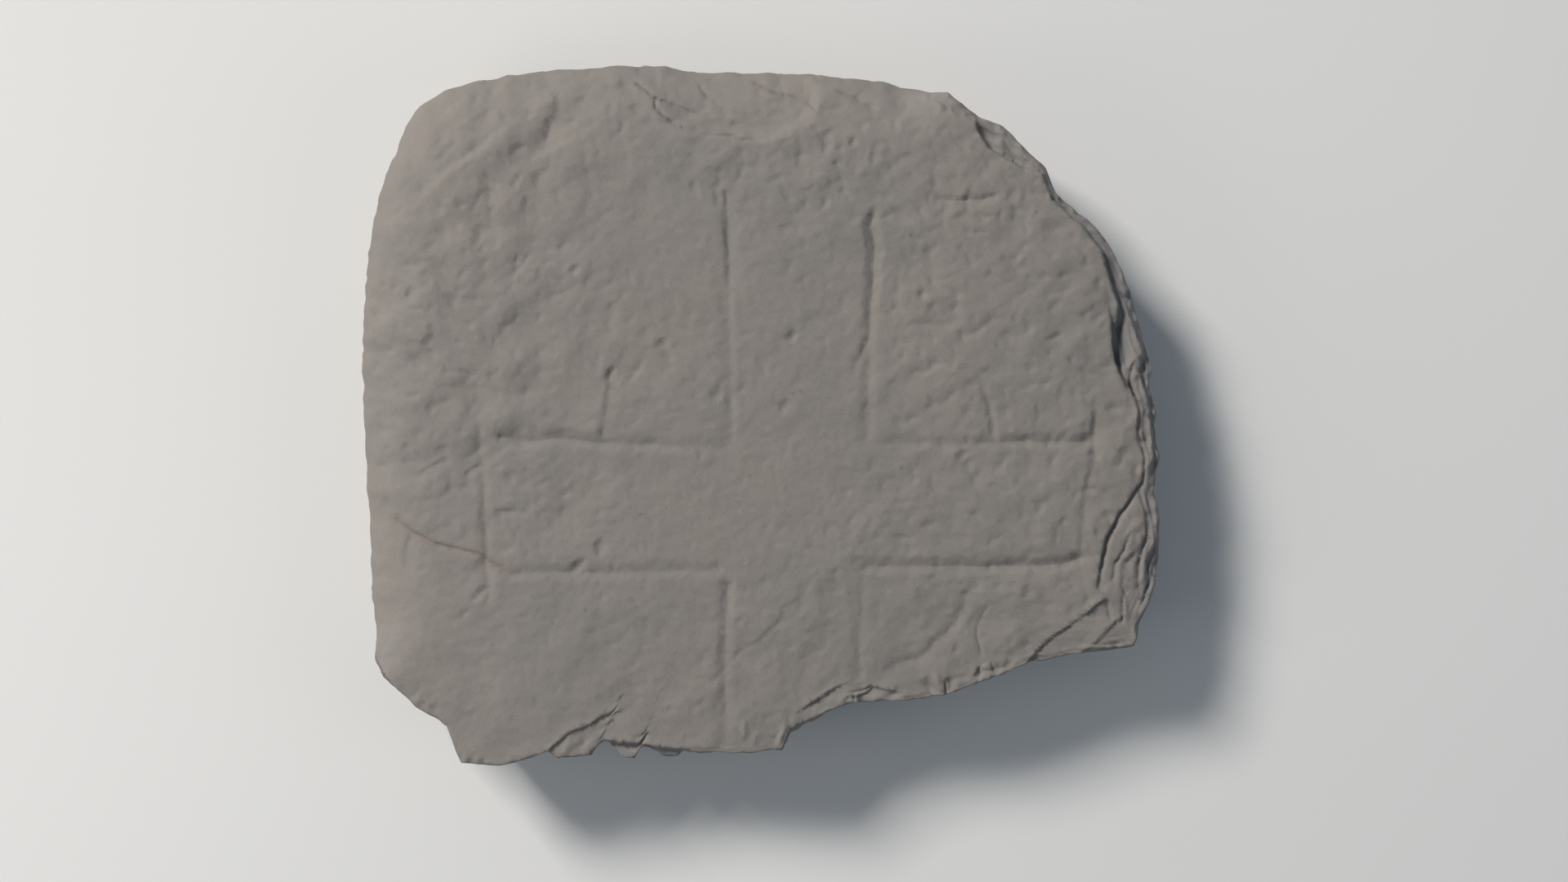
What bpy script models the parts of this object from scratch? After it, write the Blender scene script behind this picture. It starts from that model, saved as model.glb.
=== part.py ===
"""Cross slab: a worn and broken stone slab with an outlined cross cut in its face.

The slab lies on its back. +X runs to the right of the carved face, +Y to the head of the
cross and +Z out of the face. The origin is under the middle of the slab, on its underside.
A place on the slab is (u, v): u runs from -1 to 1 over its width and v over its length.
"""
import math
from dataclasses import dataclass

import bmesh
import bpy
import numpy as np
from mathutils import Matrix, noise
from mathutils.kdtree import KDTree

# The slab's own size, in metres
SLAB_WIDTH = 0.647
SLAB_LENGTH = 0.565
SLAB_THICKNESS = 0.11

# The face and the weathered head and left side
FACE_DOME = 0.007
FACE_SWELL = 0.0016
SWELL_SPACING = 0.085
WORN_REACH = 0.050
WORN_DROP = 0.038

# The crisp edge where the slab is broken
CHIPPED_REACH = 0.008
CHIPPED_DROP = 0.0035
BED_DROP = 0.013
BED_RAMP = 0.008
SPALL_DROP = 0.005
FLAKE_DROP = 0.004
FLAKE_RAMP = 0.004
FLAKE_LIP = 0.0016
NIB_DROP = 0.007
SCAR_DROP = 0.0018
LIP_WIDTH = 0.005

# The carved lines
GROOVE_WIDTH = 0.0135
GROOVE_DEPTH = 0.0030
STROKE_WIDTH = 0.0095
STROKE_DEPTH = 0.0022
CRACK_WIDTH = 0.005
CRACK_DEPTH = 0.0025
PIT_STEEPNESS = 0.55
LINE_WOBBLE = 0.0012
WOBBLE_SPACING = 0.022
LINE_END_FADE = 0.006
LINE_END_DEPTH = 0.4

# The sides and the underside
FOOT_RISE = 0.005
FOOT_REACH = 0.014
FOOT_SPACING = 0.033
FOOT_UNEVENNESS = 0.6
LAYER_THICKNESS = 0.015
LAYER_RUN = 0.060
LEDGE_SETBACK = 0.3
JAG_SPACING = 0.011
RETREAT_DEPTH = 0.33

# The mesh that the shape is worked on, and the triangles that are kept
CELL = 0.0040
SIDE_RINGS = 16
RIM_STEP = 0.0012
EVEN_CORNERS = 72
STEPS_FROM = 0.7
TRIANGLES_KEPT = 9200

# The level of the random field that each kind of unevenness is read from
SWELL_LEVEL = 2.6
WOBBLE_LEVELS = (4.2, 6.8)
CHIP_LEVEL = 0.37
TILT_LEVEL = 5.3
FOOT_LEVEL = 7.7
LEDGE_LEVEL = 9.1
LEDGE_LEVEL_STEP = 1.7

STONE_COLOUR = (0.235, 0.218, 0.203, 1.0)
STONE_ROUGHNESS = 0.92

# The outline, clockwise from the lower left corner, seen from above
WORN_EDGE = (
    (-0.959, -0.693), (-0.973, -0.505), (-0.984, -0.270), (-0.994, -0.081), (-0.998, 0.178),
    (-0.992, 0.366), (-0.975, 0.531), (-0.949, 0.660), (-0.916, 0.754), (-0.883, 0.849),
    (-0.825, 0.907), (-0.747, 0.947), (-0.636, 0.973), (-0.472, 0.992), (-0.267, 1.002),
    (-0.143, 0.985), (0.062, 0.983), (0.226, 0.966), (0.350, 0.943), (0.424, 0.921),
)
BROKEN_SIDE = (
    (0.467, 0.913), (0.545, 0.847), (0.607, 0.818), (0.657, 0.761), (0.711, 0.700), (0.736, 0.629),
    (0.810, 0.558), (0.868, 0.487), (0.909, 0.387), (0.950, 0.250), (0.977, 0.132), (0.971, 0.065),
    (0.988, 0.013), (0.981, -0.034), (0.994, -0.129), (0.979, -0.223), (0.996, -0.294),
    (0.994, -0.413), (0.979, -0.507), (0.944, -0.602), (0.930, -0.666),
)
BROKEN_FOOT = (
    (0.749, -0.690), (0.668, -0.708), (0.579, -0.752), (0.462, -0.801), (0.345, -0.817),
    (0.224, -0.824), (0.143, -0.861), (0.076, -0.896), (0.056, -0.956), (-0.059, -0.968),
    (-0.140, -0.961), (-0.188, -0.958), (-0.203, -0.975), (-0.245, -0.968), (-0.255, -0.954),
    (-0.295, -0.944), (-0.308, -0.977), (-0.342, -0.979), (-0.358, -0.949), (-0.380, -0.933),
    (-0.396, -0.933), (-0.416, -0.972), (-0.463, -0.975), (-0.501, -0.982), (-0.528, -0.961),
    (-0.584, -0.986), (-0.643, -1.000), (-0.742, -0.995), (-0.760, -0.928), (-0.774, -0.889),
    (-0.855, -0.829), (-0.915, -0.766),
)

# Where the rim's three stretches meet, as turns from +X
SIDE_STARTS = math.radians(-34)
HEAD_STARTS = math.radians(62)
FOOT_STARTS = math.radians(212)
STRETCH_BLEND = math.radians(9)


@dataclass(frozen=True)
class Side:
    """How one stretch of the rim goes down from the face to the underside."""

    brink: float
    turn: float
    foot_inset: float
    ledge: float
    jag: float
    retreat: float


HEAD_SIDE = Side(brink=0.0010, turn=0.12, foot_inset=0.016, ledge=0.0012, jag=0.0006, retreat=0.3)
BREAK_SIDE = Side(brink=0.0015, turn=0.30, foot_inset=0.008, ledge=0.0070, jag=0.0012, retreat=0.7)
FOOT_SIDE = Side(brink=0.0005, turn=0.10, foot_inset=0.012, ledge=0.0080, jag=0.0010, retreat=0.9)


@dataclass(frozen=True)
class Cut:
    """A line sunk in the face: its places, width and depth, and its depth at start, middle and end."""

    places: tuple
    width: float
    depth: float
    shares: tuple = (1.0, 1.0, 1.0)


@dataclass(frozen=True)
class Bed:
    """A line where a layer of the stone ends: outwards of it, the surface lies lower."""

    places: tuple
    drop: float
    ramp: float
    lip: float = 0.0
    shares: tuple = (1.0, 1.0, 1.0)
    reach: float = 1.0


@dataclass(frozen=True)
class Pit:
    """A small round hollow in the face."""

    place: tuple
    radius: float


# The outline of the cross: the shaft above and below, the arms, and the bars that close them
CROSS = (
    Cut(((-0.083, 0.610), (-0.079, 0.287), (-0.073, -0.081), (-0.069, -0.109)),
        GROOVE_WIDTH, GROOVE_DEPTH, (0.8, 1.0, 0.9)),
    Cut(((0.364, 0.550), (0.300, 0.560), (0.283, 0.540), (0.267, 0.379), (0.263, 0.241), (0.257, -0.084)),
        GROOVE_WIDTH, GROOVE_DEPTH, (0.2, 1.0, 0.9)),
    Cut(((-0.651, -0.054), (-0.581, -0.067), (-0.481, -0.058), (-0.390, -0.072), (-0.260, -0.084),
         (-0.073, -0.088)),
        GROOVE_WIDTH, GROOVE_DEPTH, (1.0, 0.9, 0.5)),
    Cut(((0.257, -0.084), (0.504, -0.084), (0.665, -0.074), (0.816, -0.077)),
        GROOVE_WIDTH, GROOVE_DEPTH, (0.6, 0.9, 1.0)),
    Cut(((-0.686, 0.115), (-0.688, 0.011), (-0.678, -0.220), (-0.668, -0.427), (-0.662, -0.538)),
        GROOVE_WIDTH, GROOVE_DEPTH, (0.4, 0.9, 1.2)),
    Cut(((0.837, 0.029), (0.827, -0.081), (0.810, -0.220), (0.796, -0.335), (0.790, -0.427), (0.802, -0.519)),
        GROOVE_WIDTH, GROOVE_DEPTH, (0.7, 1.0, 0.8)),
    Cut(((-0.662, -0.422), (-0.621, -0.443), (-0.400, -0.441), (-0.089, -0.434)),
        GROOVE_WIDTH, GROOVE_DEPTH, (0.9, 1.0, 0.3)),
    Cut(((0.253, -0.429), (0.544, -0.427), (0.745, -0.422), (0.796, -0.406)),
        GROOVE_WIDTH, GROOVE_DEPTH, (0.8, 0.9, 0.9)),
    Cut(((-0.089, -0.477), (-0.095, -0.680), (-0.097, -0.956)),
        GROOVE_WIDTH, GROOVE_DEPTH, (0.7, 0.9, 0.6)),
    Cut(((0.253, -0.431), (0.243, -0.588), (0.237, -0.761)),
        GROOVE_WIDTH, GROOVE_DEPTH, (0.8, 0.6, 0.3)),
)
STROKES = (
    Cut(((-0.370, 0.110), (-0.376, 0.011), (-0.394, -0.067)), STROKE_WIDTH, STROKE_DEPTH),
    Cut(((-0.336, 0.085), (-0.290, 0.149)), STROKE_WIDTH, STROKE_DEPTH, (0.6, 0.8, 0.3)),
    Cut(((0.534, 0.091), (0.555, 0.034), (0.571, -0.072)), STROKE_WIDTH, STROKE_DEPTH),
    Cut(((0.259, 0.214), (0.223, 0.133)), STROKE_WIDTH, STROKE_DEPTH, (0.9, 0.7, 0.3)),
    Cut(((0.430, 0.615), (0.494, 0.605), (0.545, 0.610), (0.589, 0.626)),
        STROKE_WIDTH, STROKE_DEPTH, (0.5, 1.1, 0.6)),
)
CRACKS = (
    Cut(((-0.901, -0.294), (-0.864, -0.331), (-0.804, -0.358), (-0.693, -0.386), (-0.621, -0.443)),
        CRACK_WIDTH, CRACK_DEPTH, (0.8, 1.0, 0.6)),
    Cut(((-0.866, -0.340), (-0.876, -0.427)), CRACK_WIDTH, CRACK_DEPTH, (0.8, 0.6, 0.2)),
    Cut(((-0.843, -0.174), (-0.773, -0.132)), STROKE_WIDTH, CRACK_DEPTH),
    Cut(((-0.503, 0.925), (-0.497, 0.844), (-0.528, 0.787)), GROOVE_WIDTH, STROKE_DEPTH, (1.0, 0.9, 0.4)),
    Cut(((-0.297, 0.942), (-0.261, 0.902), (-0.255, 0.868), (-0.209, 0.817), (-0.160, 0.793)),
        CRACK_WIDTH, CRACK_DEPTH),
    Cut(((0.203, 0.943), (0.268, 0.913), (0.294, 0.862)), STROKE_WIDTH, CRACK_DEPTH, (1.0, 0.7, 0.2)),
    Cut(((0.545, -0.496), (0.535, -0.588), (0.551, -0.690)), CRACK_WIDTH, CRACK_DEPTH, (0.3, 0.6, 1.0)),
)

# The layers that the breaks have left, and the low steps where thin flakes have gone
FRONT_LAYER = Bed(
    ((0.417, 0.898), (0.461, 0.856), (0.530, 0.824), (0.538, 0.796), (0.562, 0.746), (0.606, 0.713),
     (0.695, 0.674), (0.719, 0.598), (0.792, 0.533), (0.844, 0.455), (0.864, 0.367), (0.884, 0.307),
     (0.882, 0.237), (0.917, 0.085), (0.943, 0.013), (0.939, -0.044), (0.957, -0.132), (0.947, -0.197),
     (0.917, -0.248), (0.872, -0.319), (0.850, -0.377), (0.838, -0.451), (0.836, -0.502), (0.851, -0.527),
     (0.797, -0.573), (0.741, -0.619), (0.698, -0.660), (0.662, -0.702)),
    BED_DROP, BED_RAMP, shares=(1.2, 1.0, 0.4))
SECOND_LAYER = Bed(
    ((0.877, 0.407), (0.916, 0.309), (0.946, 0.186), (0.938, 0.116), (0.962, 0.012), (0.972, -0.128),
     (0.950, -0.228), (0.952, -0.295), (0.960, -0.351), (0.924, -0.393), (0.893, -0.425), (0.885, -0.497),
     (0.903, -0.532), (0.905, -0.569), (0.884, -0.590), (0.856, -0.618), (0.823, -0.655), (0.775, -0.692)),
    BED_DROP, BED_RAMP, shares=(1.0, 0.9, 0.4))
THIRD_LAYER = Bed(
    ((0.971, -0.315), (0.973, -0.367), (0.952, -0.418), (0.952, -0.484), (0.936, -0.538)),
    BED_DROP, BED_RAMP, shares=(0.2, 1.0, 0.2))
HEAD_SPALL = Bed(
    ((-0.297, 0.954), (-0.261, 0.901), (-0.255, 0.867), (-0.208, 0.816), (-0.160, 0.793), (-0.019, 0.769),
     (0.072, 0.779), (0.123, 0.816), (0.149, 0.871), (0.143, 0.948)),
    SPALL_DROP, BED_RAMP, shares=(0.9, 0.5, 0.4))
FLAKES = (
    Bed(((-0.526, -0.963), (-0.508, -0.951), (-0.482, -0.919), (-0.431, -0.880), (-0.331, -0.838)),
        FLAKE_DROP, FLAKE_RAMP, FLAKE_LIP, (1.0, 0.8, 0.0)),
    Bed(((-0.407, -0.923), (-0.340, -0.932), (-0.230, -0.943), (-0.115, -0.955)), NIB_DROP, FLAKE_RAMP),
    Bed(((0.086, -0.856), (0.098, -0.844), (0.143, -0.810), (0.187, -0.775), (0.233, -0.754)),
        FLAKE_DROP, FLAKE_RAMP, FLAKE_LIP, (0.5, 0.8, 0.0)),
    Bed(((0.203, -0.824), (0.215, -0.797), (0.253, -0.774), (0.288, -0.767), (0.344, -0.797),
         (0.398, -0.815)),
        FLAKE_DROP, FLAKE_RAMP, FLAKE_LIP, (0.3, 1.0, 0.0)),
    Bed(((0.142, -0.450), (0.052, -0.565), (-0.008, -0.634), (-0.079, -0.703), (-0.119, -0.761)),
        SCAR_DROP, GROOVE_WIDTH, 0.0, (0.0, 1.0, 0.0), WORN_REACH),
    Bed(((0.527, -0.482), (0.500, -0.531), (0.468, -0.588), (0.414, -0.660), (0.360, -0.687),
         (0.299, -0.708)),
        SCAR_DROP, GROOVE_WIDTH, 0.0, (0.0, 1.0, 0.0), WORN_REACH),
)
BEDS = (FRONT_LAYER, SECOND_LAYER, THIRD_LAYER, HEAD_SPALL, *FLAKES)

PITS = (
    Pit((-0.370, 0.110), 0.0050),
    Pit((-0.232, 0.172), 0.0060),
    Pit((-0.105, 0.041), 0.0050),
    Pit((0.082, 0.218), 0.0035),
    Pit((-0.380, -0.385), 0.0050),
    Pit((-0.437, -0.427), 0.0040),
    Pit((-0.455, 0.398), 0.0045),
    Pit((0.400, 0.315), 0.0055),
    Pit((-0.823, 0.200), 0.0055),
    Pit((-0.690, -0.517), 0.0080),
)


def ease(value):
    """Rises smoothly from 0 to 1 as the value does."""
    kept = np.clip(value, 0.0, 1.0)
    return kept * kept * (3.0 - 2.0 * kept)


def wander(x, y, spacing, lift, level):
    """A smooth random rise and fall of up to the lift, the same each run."""
    pairs = zip((x / spacing).tolist(), (y / spacing).tolist())
    return lift * np.array([noise.noise((a, b, level)) for a, b in pairs])


def in_metres(places):
    """Places on the slab as metres from its middle."""
    return np.array(places) * (SLAB_WIDTH / 2, SLAB_LENGTH / 2)


def rounded_line(points, steps=8):
    """A smooth line through the points."""
    ends = np.vstack((points[0], points, points[-1]))
    share = np.linspace(0.0, 1.0, steps, endpoint=False)[:, None]
    runs = []
    for before, start, end, after in zip(ends, ends[1:], ends[2:], ends[3:]):
        bend = 2 * before - 5 * start + 4 * end - after
        twist = 3 * (start - end) + after - before
        runs.append(start + 0.5 * share * (end - before + share * (bend + share * twist)))
    return np.vstack((*runs, points[-1]))


def straight_line(points, steps=8):
    """The points joined by straight runs, with steps along each."""
    share = np.linspace(0.0, 1.0, steps, endpoint=False)[:, None]
    runs = [start + share * (end - start) for start, end in zip(points, points[1:])]
    return np.vstack((*runs, points[-1]))


def stretch_weights(angle):
    """How far each angle of the rim belongs to the head, to the broken side and to the foot."""
    turned = np.mod(angle - FOOT_STARTS, math.tau) + FOOT_STARTS - math.tau
    past_side = ease((turned - SIDE_STARTS) / STRETCH_BLEND + 0.5)
    past_head = ease((turned - HEAD_STARTS) / STRETCH_BLEND + 0.5)
    near_foot = ease(0.5 - (turned - FOOT_STARTS + math.tau) / STRETCH_BLEND)
    past_foot = ease((turned - FOOT_STARTS) / STRETCH_BLEND + 0.5)
    head = np.clip(past_head - past_foot + near_foot, 0.0, 1.0)
    side = past_side - past_head
    return head, side, 1.0 - head - side


def rim_value(angle, name):
    """One of a side's values, blended where the rim's stretches meet."""
    weights = stretch_weights(angle)
    sides = (HEAD_SIDE, BREAK_SIDE, FOOT_SIDE)
    return sum(weight * getattr(side, name) for weight, side in zip(weights, sides))


class Outline:
    """The slab's outline, as a distance from its middle for every angle."""

    def __init__(self):
        worn = rounded_line(in_metres(WORN_EDGE))
        broken = straight_line(in_metres((WORN_EDGE[-1], *BROKEN_SIDE, *BROKEN_FOOT, WORN_EDGE[0])))
        points = np.vstack((worn, broken[1:-1]))
        self.angles = np.arctan2(points[:, 1], points[:, 0])
        self.radii = np.hypot(points[:, 0], points[:, 1])
        self.corners = np.linspace(-math.pi, math.pi, EVEN_CORNERS + 1)
        self.even = self.radius(self.corners)

    def radius(self, angle):
        """The rim's distance from the middle, chipped more where the slab is broken."""
        reach = np.interp(angle, self.angles, self.radii, period=math.tau)
        chips = wander(reach * np.cos(angle), reach * np.sin(angle), JAG_SPACING, 1.0, CHIP_LEVEL)
        return reach + chips * rim_value(angle, "jag")

    def even_radius(self, angle):
        """The same distance without the small steps, for the mesh inside the rim."""
        return np.interp(angle, self.corners, self.even)

    def distance_inside(self, x, y):
        """How far points inside the slab are from its rim."""
        count = round(math.tau * self.radii.max() / RIM_STEP)
        angles = np.linspace(-math.pi, math.pi, count, endpoint=False)
        reach = self.radius(angles)
        corners = np.column_stack((reach * np.cos(angles), reach * np.sin(angles), np.zeros(count)))
        tree = KDTree(count)
        for index, corner in enumerate(corners.tolist()):
            tree.insert(corner, index)
        tree.balance()
        return np.array([tree.find((a, b, 0.0))[2] for a, b in zip(x.tolist(), y.tolist())])


def to_line(x, y, points):
    """Distance to a line of points, and the share of its length where it is nearest."""
    lengths = np.hypot(*(points[1:] - points[:-1]).T)
    starts = np.concatenate(((0.0,), np.cumsum(lengths)))
    nearest = np.full(x.shape, np.inf)
    along = np.zeros(x.shape)
    for (ax, ay), (bx, by), length, start in zip(points, points[1:], lengths, starts):
        share = np.clip(((x - ax) * (bx - ax) + (y - ay) * (by - ay)) / length**2, 0.0, 1.0)
        distance = np.hypot(x - ax - share * (bx - ax), y - ay - share * (by - ay))
        closer = distance < nearest
        nearest = np.where(closer, distance, nearest)
        along = np.where(closer, (start + share * length) / starts[-1], along)
    return nearest, along, starts[-1]


def beyond_line(x, y, points):
    """Which points lie outwards of a line, seen from the slab's middle."""
    far_out = 3.0
    corners = np.vstack((points, points[-1] * far_out, points[0] * far_out))
    outwards = np.zeros(x.shape, dtype=bool)
    for (ax, ay), (bx, by) in zip(corners, np.roll(corners, -1, axis=0)):
        if ay != by:
            crosses = (ay > y) != (by > y)
            outwards ^= crosses & (x < (bx - ax) * (y - ay) / (by - ay) + ax)
    return outwards


def cut_depth(x, y, cut):
    """How deep a sunk line is at each point: a V that fades out at its ends."""
    distance, along, length = to_line(x, y, in_metres(cut.places))
    share = np.interp(along, (0.0, 0.5, 1.0), cut.shares)
    from_end = np.minimum(along, 1.0 - along) * length
    fade = ease(LINE_END_DEPTH + from_end / LINE_END_FADE)
    return cut.depth * share * fade * np.clip(1.0 - distance / (cut.width / 2), 0.0, 1.0)


def bed_depth(x, y, bed):
    """How much lower the surface is beyond the edge of a layer, less the lip along that edge."""
    points = in_metres(bed.places)
    distance, along, _ = to_line(x, y, points)
    share = np.interp(along, (0.0, 0.5, 1.0), bed.shares)
    outwards = beyond_line(x, y, points)
    fall = ease(distance / bed.ramp) * np.exp(-(distance / bed.reach) ** 2)
    lip = bed.lip * np.exp(-(distance / LIP_WIDTH) ** 2)
    return share * np.where(outwards, bed.drop * fall, -lip)


def pit_depth(x, y, pit):
    """How deep a pit is at each point."""
    px, py = in_metres(pit.place)
    closeness = np.clip(1.0 - np.hypot(x - px, y - py) / pit.radius, 0.0, 1.0)
    return pit.radius * PIT_STEEPNESS * ease(closeness)


def face_height(x, y, share, from_rim):
    """Height of the carved face over the underside."""
    worn = stretch_weights(np.arctan2(y, x))[0]
    height = SLAB_THICKNESS - FACE_DOME * share**3
    height += wander(x, y, SWELL_SPACING, FACE_SWELL, SWELL_LEVEL)
    roundness = np.clip(1.0 - from_rim / WORN_REACH, 0.0, 1.0)
    height -= worn * WORN_DROP * (1.0 - np.sqrt(1.0 - roundness**2))
    height -= (1.0 - worn) * CHIPPED_DROP * np.clip(1.0 - from_rim / CHIPPED_REACH, 0.0, 1.0) ** 2
    bent_x = x + wander(x, y, WOBBLE_SPACING, LINE_WOBBLE, WOBBLE_LEVELS[0])
    bent_y = y + wander(x, y, WOBBLE_SPACING, LINE_WOBBLE, WOBBLE_LEVELS[1])
    height -= sum(bed_depth(bent_x, bent_y, bed) for bed in BEDS)
    height -= sum(cut_depth(bent_x, bent_y, cut) for cut in (*CROSS, *STROKES, *CRACKS))
    height -= sum(pit_depth(bent_x, bent_y, pit) for pit in PITS)
    return height


def side_inset(angle, down, rim, even, height):
    """How far the side stands back from the rim, by the share of its height already gone down."""
    turn = rim_value(angle, "turn")
    above = rim_value(angle, "brink") * np.clip(1.0 - down / turn, 0.0, 1.0) ** 2
    below = rim_value(angle, "foot_inset") * np.clip((down - turn) / (1.0 - turn), 0.0, 1.0) ** 2
    retreat = rim_value(angle, "retreat") * np.clip(rim - even, 0.0, None) * ease(down / RETREAT_DEPTH)
    x = rim * np.cos(angle)
    y = rim * np.sin(angle)
    tilt = wander(x, y, LAYER_RUN, LAYER_THICKNESS / 2, TILT_LEVEL)
    layer = np.floor((height + tilt) / LAYER_THICKNESS)
    ledges = np.zeros(angle.shape)
    for level in np.unique(layer):
        bed = layer == level
        ledges[bed] = wander(x[bed], y[bed], LAYER_RUN, 1.0, LEDGE_LEVEL + LEDGE_LEVEL_STEP * level)
    ledges = rim_value(angle, "ledge") * (ledges + LEDGE_SETBACK) * ease(down / turn)
    return above + below + retreat + ledges


def gridded_block(across, along, rings):
    """A closed two-metre block, gridded on top and below, with rings of faces round its sides."""
    bm = bmesh.new()
    raised = Matrix.Translation((0.0, 0.0, 1.0))
    sunk = Matrix.Translation((0.0, 0.0, -1.0))
    bmesh.ops.create_grid(bm, x_segments=across, y_segments=along, size=1.0, matrix=raised)
    edges = [edge for edge in bm.edges if edge.is_boundary]
    for _ in range(rings):
        ring = bmesh.ops.extrude_edge_only(bm, edges=edges)["geom"]
        corners = [item for item in ring if isinstance(item, bmesh.types.BMVert)]
        bmesh.ops.translate(bm, verts=corners, vec=(0.0, 0.0, -2.0 / rings))
        edges = [item for item in ring if isinstance(item, bmesh.types.BMEdge)]
        edges = [edge for edge in edges if edge.is_boundary]
    bmesh.ops.create_grid(bm, x_segments=across, y_segments=along, size=1.0, matrix=sunk)
    bmesh.ops.remove_doubles(bm, verts=bm.verts, dist=0.5 / max(across, along) / rings)
    bmesh.ops.recalc_face_normals(bm, faces=bm.faces)
    mesh = bpy.data.meshes.new("cross_slab")
    bm.to_mesh(mesh)
    bm.free()
    return mesh


def inner_radius(share, edge, even):
    """Distance from the middle at a share of the way to the edge, whose small steps fade inwards."""
    return share * even + ease((share - STEPS_FROM) / (1.0 - STEPS_FROM)) * (edge - even)


def shape_slab(block):
    """The block's corners moved to the slab's surface, in metres."""
    outline = Outline()
    s, t, level = np.clip(block, -1.0, 1.0).T
    angle = np.arctan2(t * SLAB_LENGTH, s * SLAB_WIDTH)
    share = np.maximum(np.abs(s), np.abs(t))
    at_rim = np.isclose(share, 1.0)
    on_top = np.isclose(level, 1.0)
    below = np.isclose(level, -1.0)
    down = (1.0 - level) / 2.0
    rim = outline.radius(angle)
    even = outline.even_radius(angle)

    radius = inner_radius(share, rim - rim_value(angle, "brink"), even)
    x = radius * np.cos(angle)
    y = radius * np.sin(angle)
    top_x, top_y = x[on_top], y[on_top]
    height = face_height(top_x, top_y, share[on_top], outline.distance_inside(top_x, top_y))
    z = np.zeros(len(s))
    z[on_top] = height + SLAB_THICKNESS - height.max()

    brink = np.interp(angle, angle[on_top & at_rim], z[on_top & at_rim], period=math.tau)
    foot = FOOT_RISE * (1.0 + wander(x, y, FOOT_SPACING, FOOT_UNEVENNESS, FOOT_LEVEL))
    side_height = brink + (foot - brink) * down
    side_radius = rim - side_inset(angle, down, rim, even, side_height)
    walls = ~on_top & ~below
    z[walls] = side_height[walls]
    radius[walls] = side_radius[walls]

    from_edge = (1.0 - share) * rim
    z[below] = (foot * np.clip(1.0 - from_edge / FOOT_REACH, 0.0, 1.0) ** 2)[below]
    radius[below] = inner_radius(share, side_radius, even)[below]
    return np.column_stack((radius * np.cos(angle), radius * np.sin(angle), z))


def stone():
    """The slab's own material: dry grey stone."""
    material = bpy.data.materials.new("stone")
    material.use_nodes = True
    shader = material.node_tree.nodes["Principled BSDF"]
    shader.inputs["Base Color"].default_value = STONE_COLOUR
    shader.inputs["Roughness"].default_value = STONE_ROUGHNESS
    shader.inputs["Metallic"].default_value = 0.0
    return material


def build_slab(collection):
    """The slab as one closed solid."""
    across = round(SLAB_WIDTH / CELL)
    along = round(SLAB_LENGTH / CELL)
    mesh = gridded_block(across, along, SIDE_RINGS)
    corners = np.empty(len(mesh.vertices) * 3, dtype=np.float32)
    mesh.vertices.foreach_get("co", corners)
    shaped = shape_slab(corners.reshape(-1, 3).astype(float))
    low = shaped.min(axis=0)[:2]
    high = shaped.max(axis=0)[:2]
    shaped[:, :2] = (shaped[:, :2] - (low + high) / 2) * (SLAB_WIDTH, SLAB_LENGTH) / (high - low)
    mesh.vertices.foreach_set("co", shaped.astype(np.float32).ravel())
    mesh.update()
    mesh.materials.append(stone())
    slab = bpy.data.objects.new("cross_slab", mesh)
    collection.objects.link(slab)
    keep = slab.modifiers.new("keep the main shapes", "DECIMATE")
    keep.ratio = TRIANGLES_KEPT / sum(len(face.vertices) - 2 for face in mesh.polygons)
    return slab


def main():
    """Clears the scene and builds the slab in its own collection."""
    for thing in list(bpy.data.objects):
        bpy.data.objects.remove(thing, do_unlink=True)
    collection = bpy.data.collections.new("cross_slab")
    bpy.context.scene.collection.children.link(collection)
    build_slab(collection)


main()
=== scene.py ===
"""Dresses the cross slab: the carved and broken stone in full relief, lying on a pale floor."""
from __future__ import annotations

import logging
import math
from collections.abc import Iterable, Sequence
from dataclasses import dataclass, field
from enum import Enum
from functools import cached_property

import bmesh
import bpy
import numpy as np
from mathutils import Matrix, Vector, noise
from mathutils.kdtree import KDTree


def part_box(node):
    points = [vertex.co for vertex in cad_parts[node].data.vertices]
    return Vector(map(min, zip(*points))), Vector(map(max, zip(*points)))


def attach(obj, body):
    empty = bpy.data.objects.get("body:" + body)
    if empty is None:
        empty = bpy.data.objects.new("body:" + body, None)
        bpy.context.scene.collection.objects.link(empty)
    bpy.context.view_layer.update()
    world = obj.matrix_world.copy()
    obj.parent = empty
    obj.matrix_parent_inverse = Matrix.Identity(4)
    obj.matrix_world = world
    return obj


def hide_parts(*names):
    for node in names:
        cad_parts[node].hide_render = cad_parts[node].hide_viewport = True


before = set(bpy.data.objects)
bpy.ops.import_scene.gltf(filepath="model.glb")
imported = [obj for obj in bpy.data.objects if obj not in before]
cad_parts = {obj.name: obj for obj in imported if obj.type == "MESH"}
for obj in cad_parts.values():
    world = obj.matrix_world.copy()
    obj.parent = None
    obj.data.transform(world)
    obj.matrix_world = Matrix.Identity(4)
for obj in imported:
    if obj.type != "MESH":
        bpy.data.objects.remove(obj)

Array = np.ndarray
Place = tuple[float, float]
Places = tuple[Place, ...]
Shares = tuple[float, ...]
Rise = tuple[float, float]

SLAB_NODE = "cross_slab"

log = logging.getLogger("cross_slab")


def ease(value: Array | float) -> Array:
    """Numbers of any size kept between 0 and 1 and smoothed at both ends."""
    kept = np.clip(value, 0.0, 1.0)
    return kept * kept * (3.0 - 2.0 * kept)


def rise(value: Array, start: float, run: float) -> Array:
    """Rises smoothly from 0 at the start to 1 when the value has gone on by the run."""
    return ease((value - start) / run)


def bell(distance: Array, width: float) -> Array:
    """Falls from 1 at no distance towards 0 beyond the width."""
    return np.exp(-((distance / width) ** 2))


def slope(share: Array) -> Array:
    """Falls from 1 to 0 as the share goes from 0 to 1, steeply at first."""
    return np.clip(1.0 - share, 0.0, 1.0) ** 2


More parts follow.
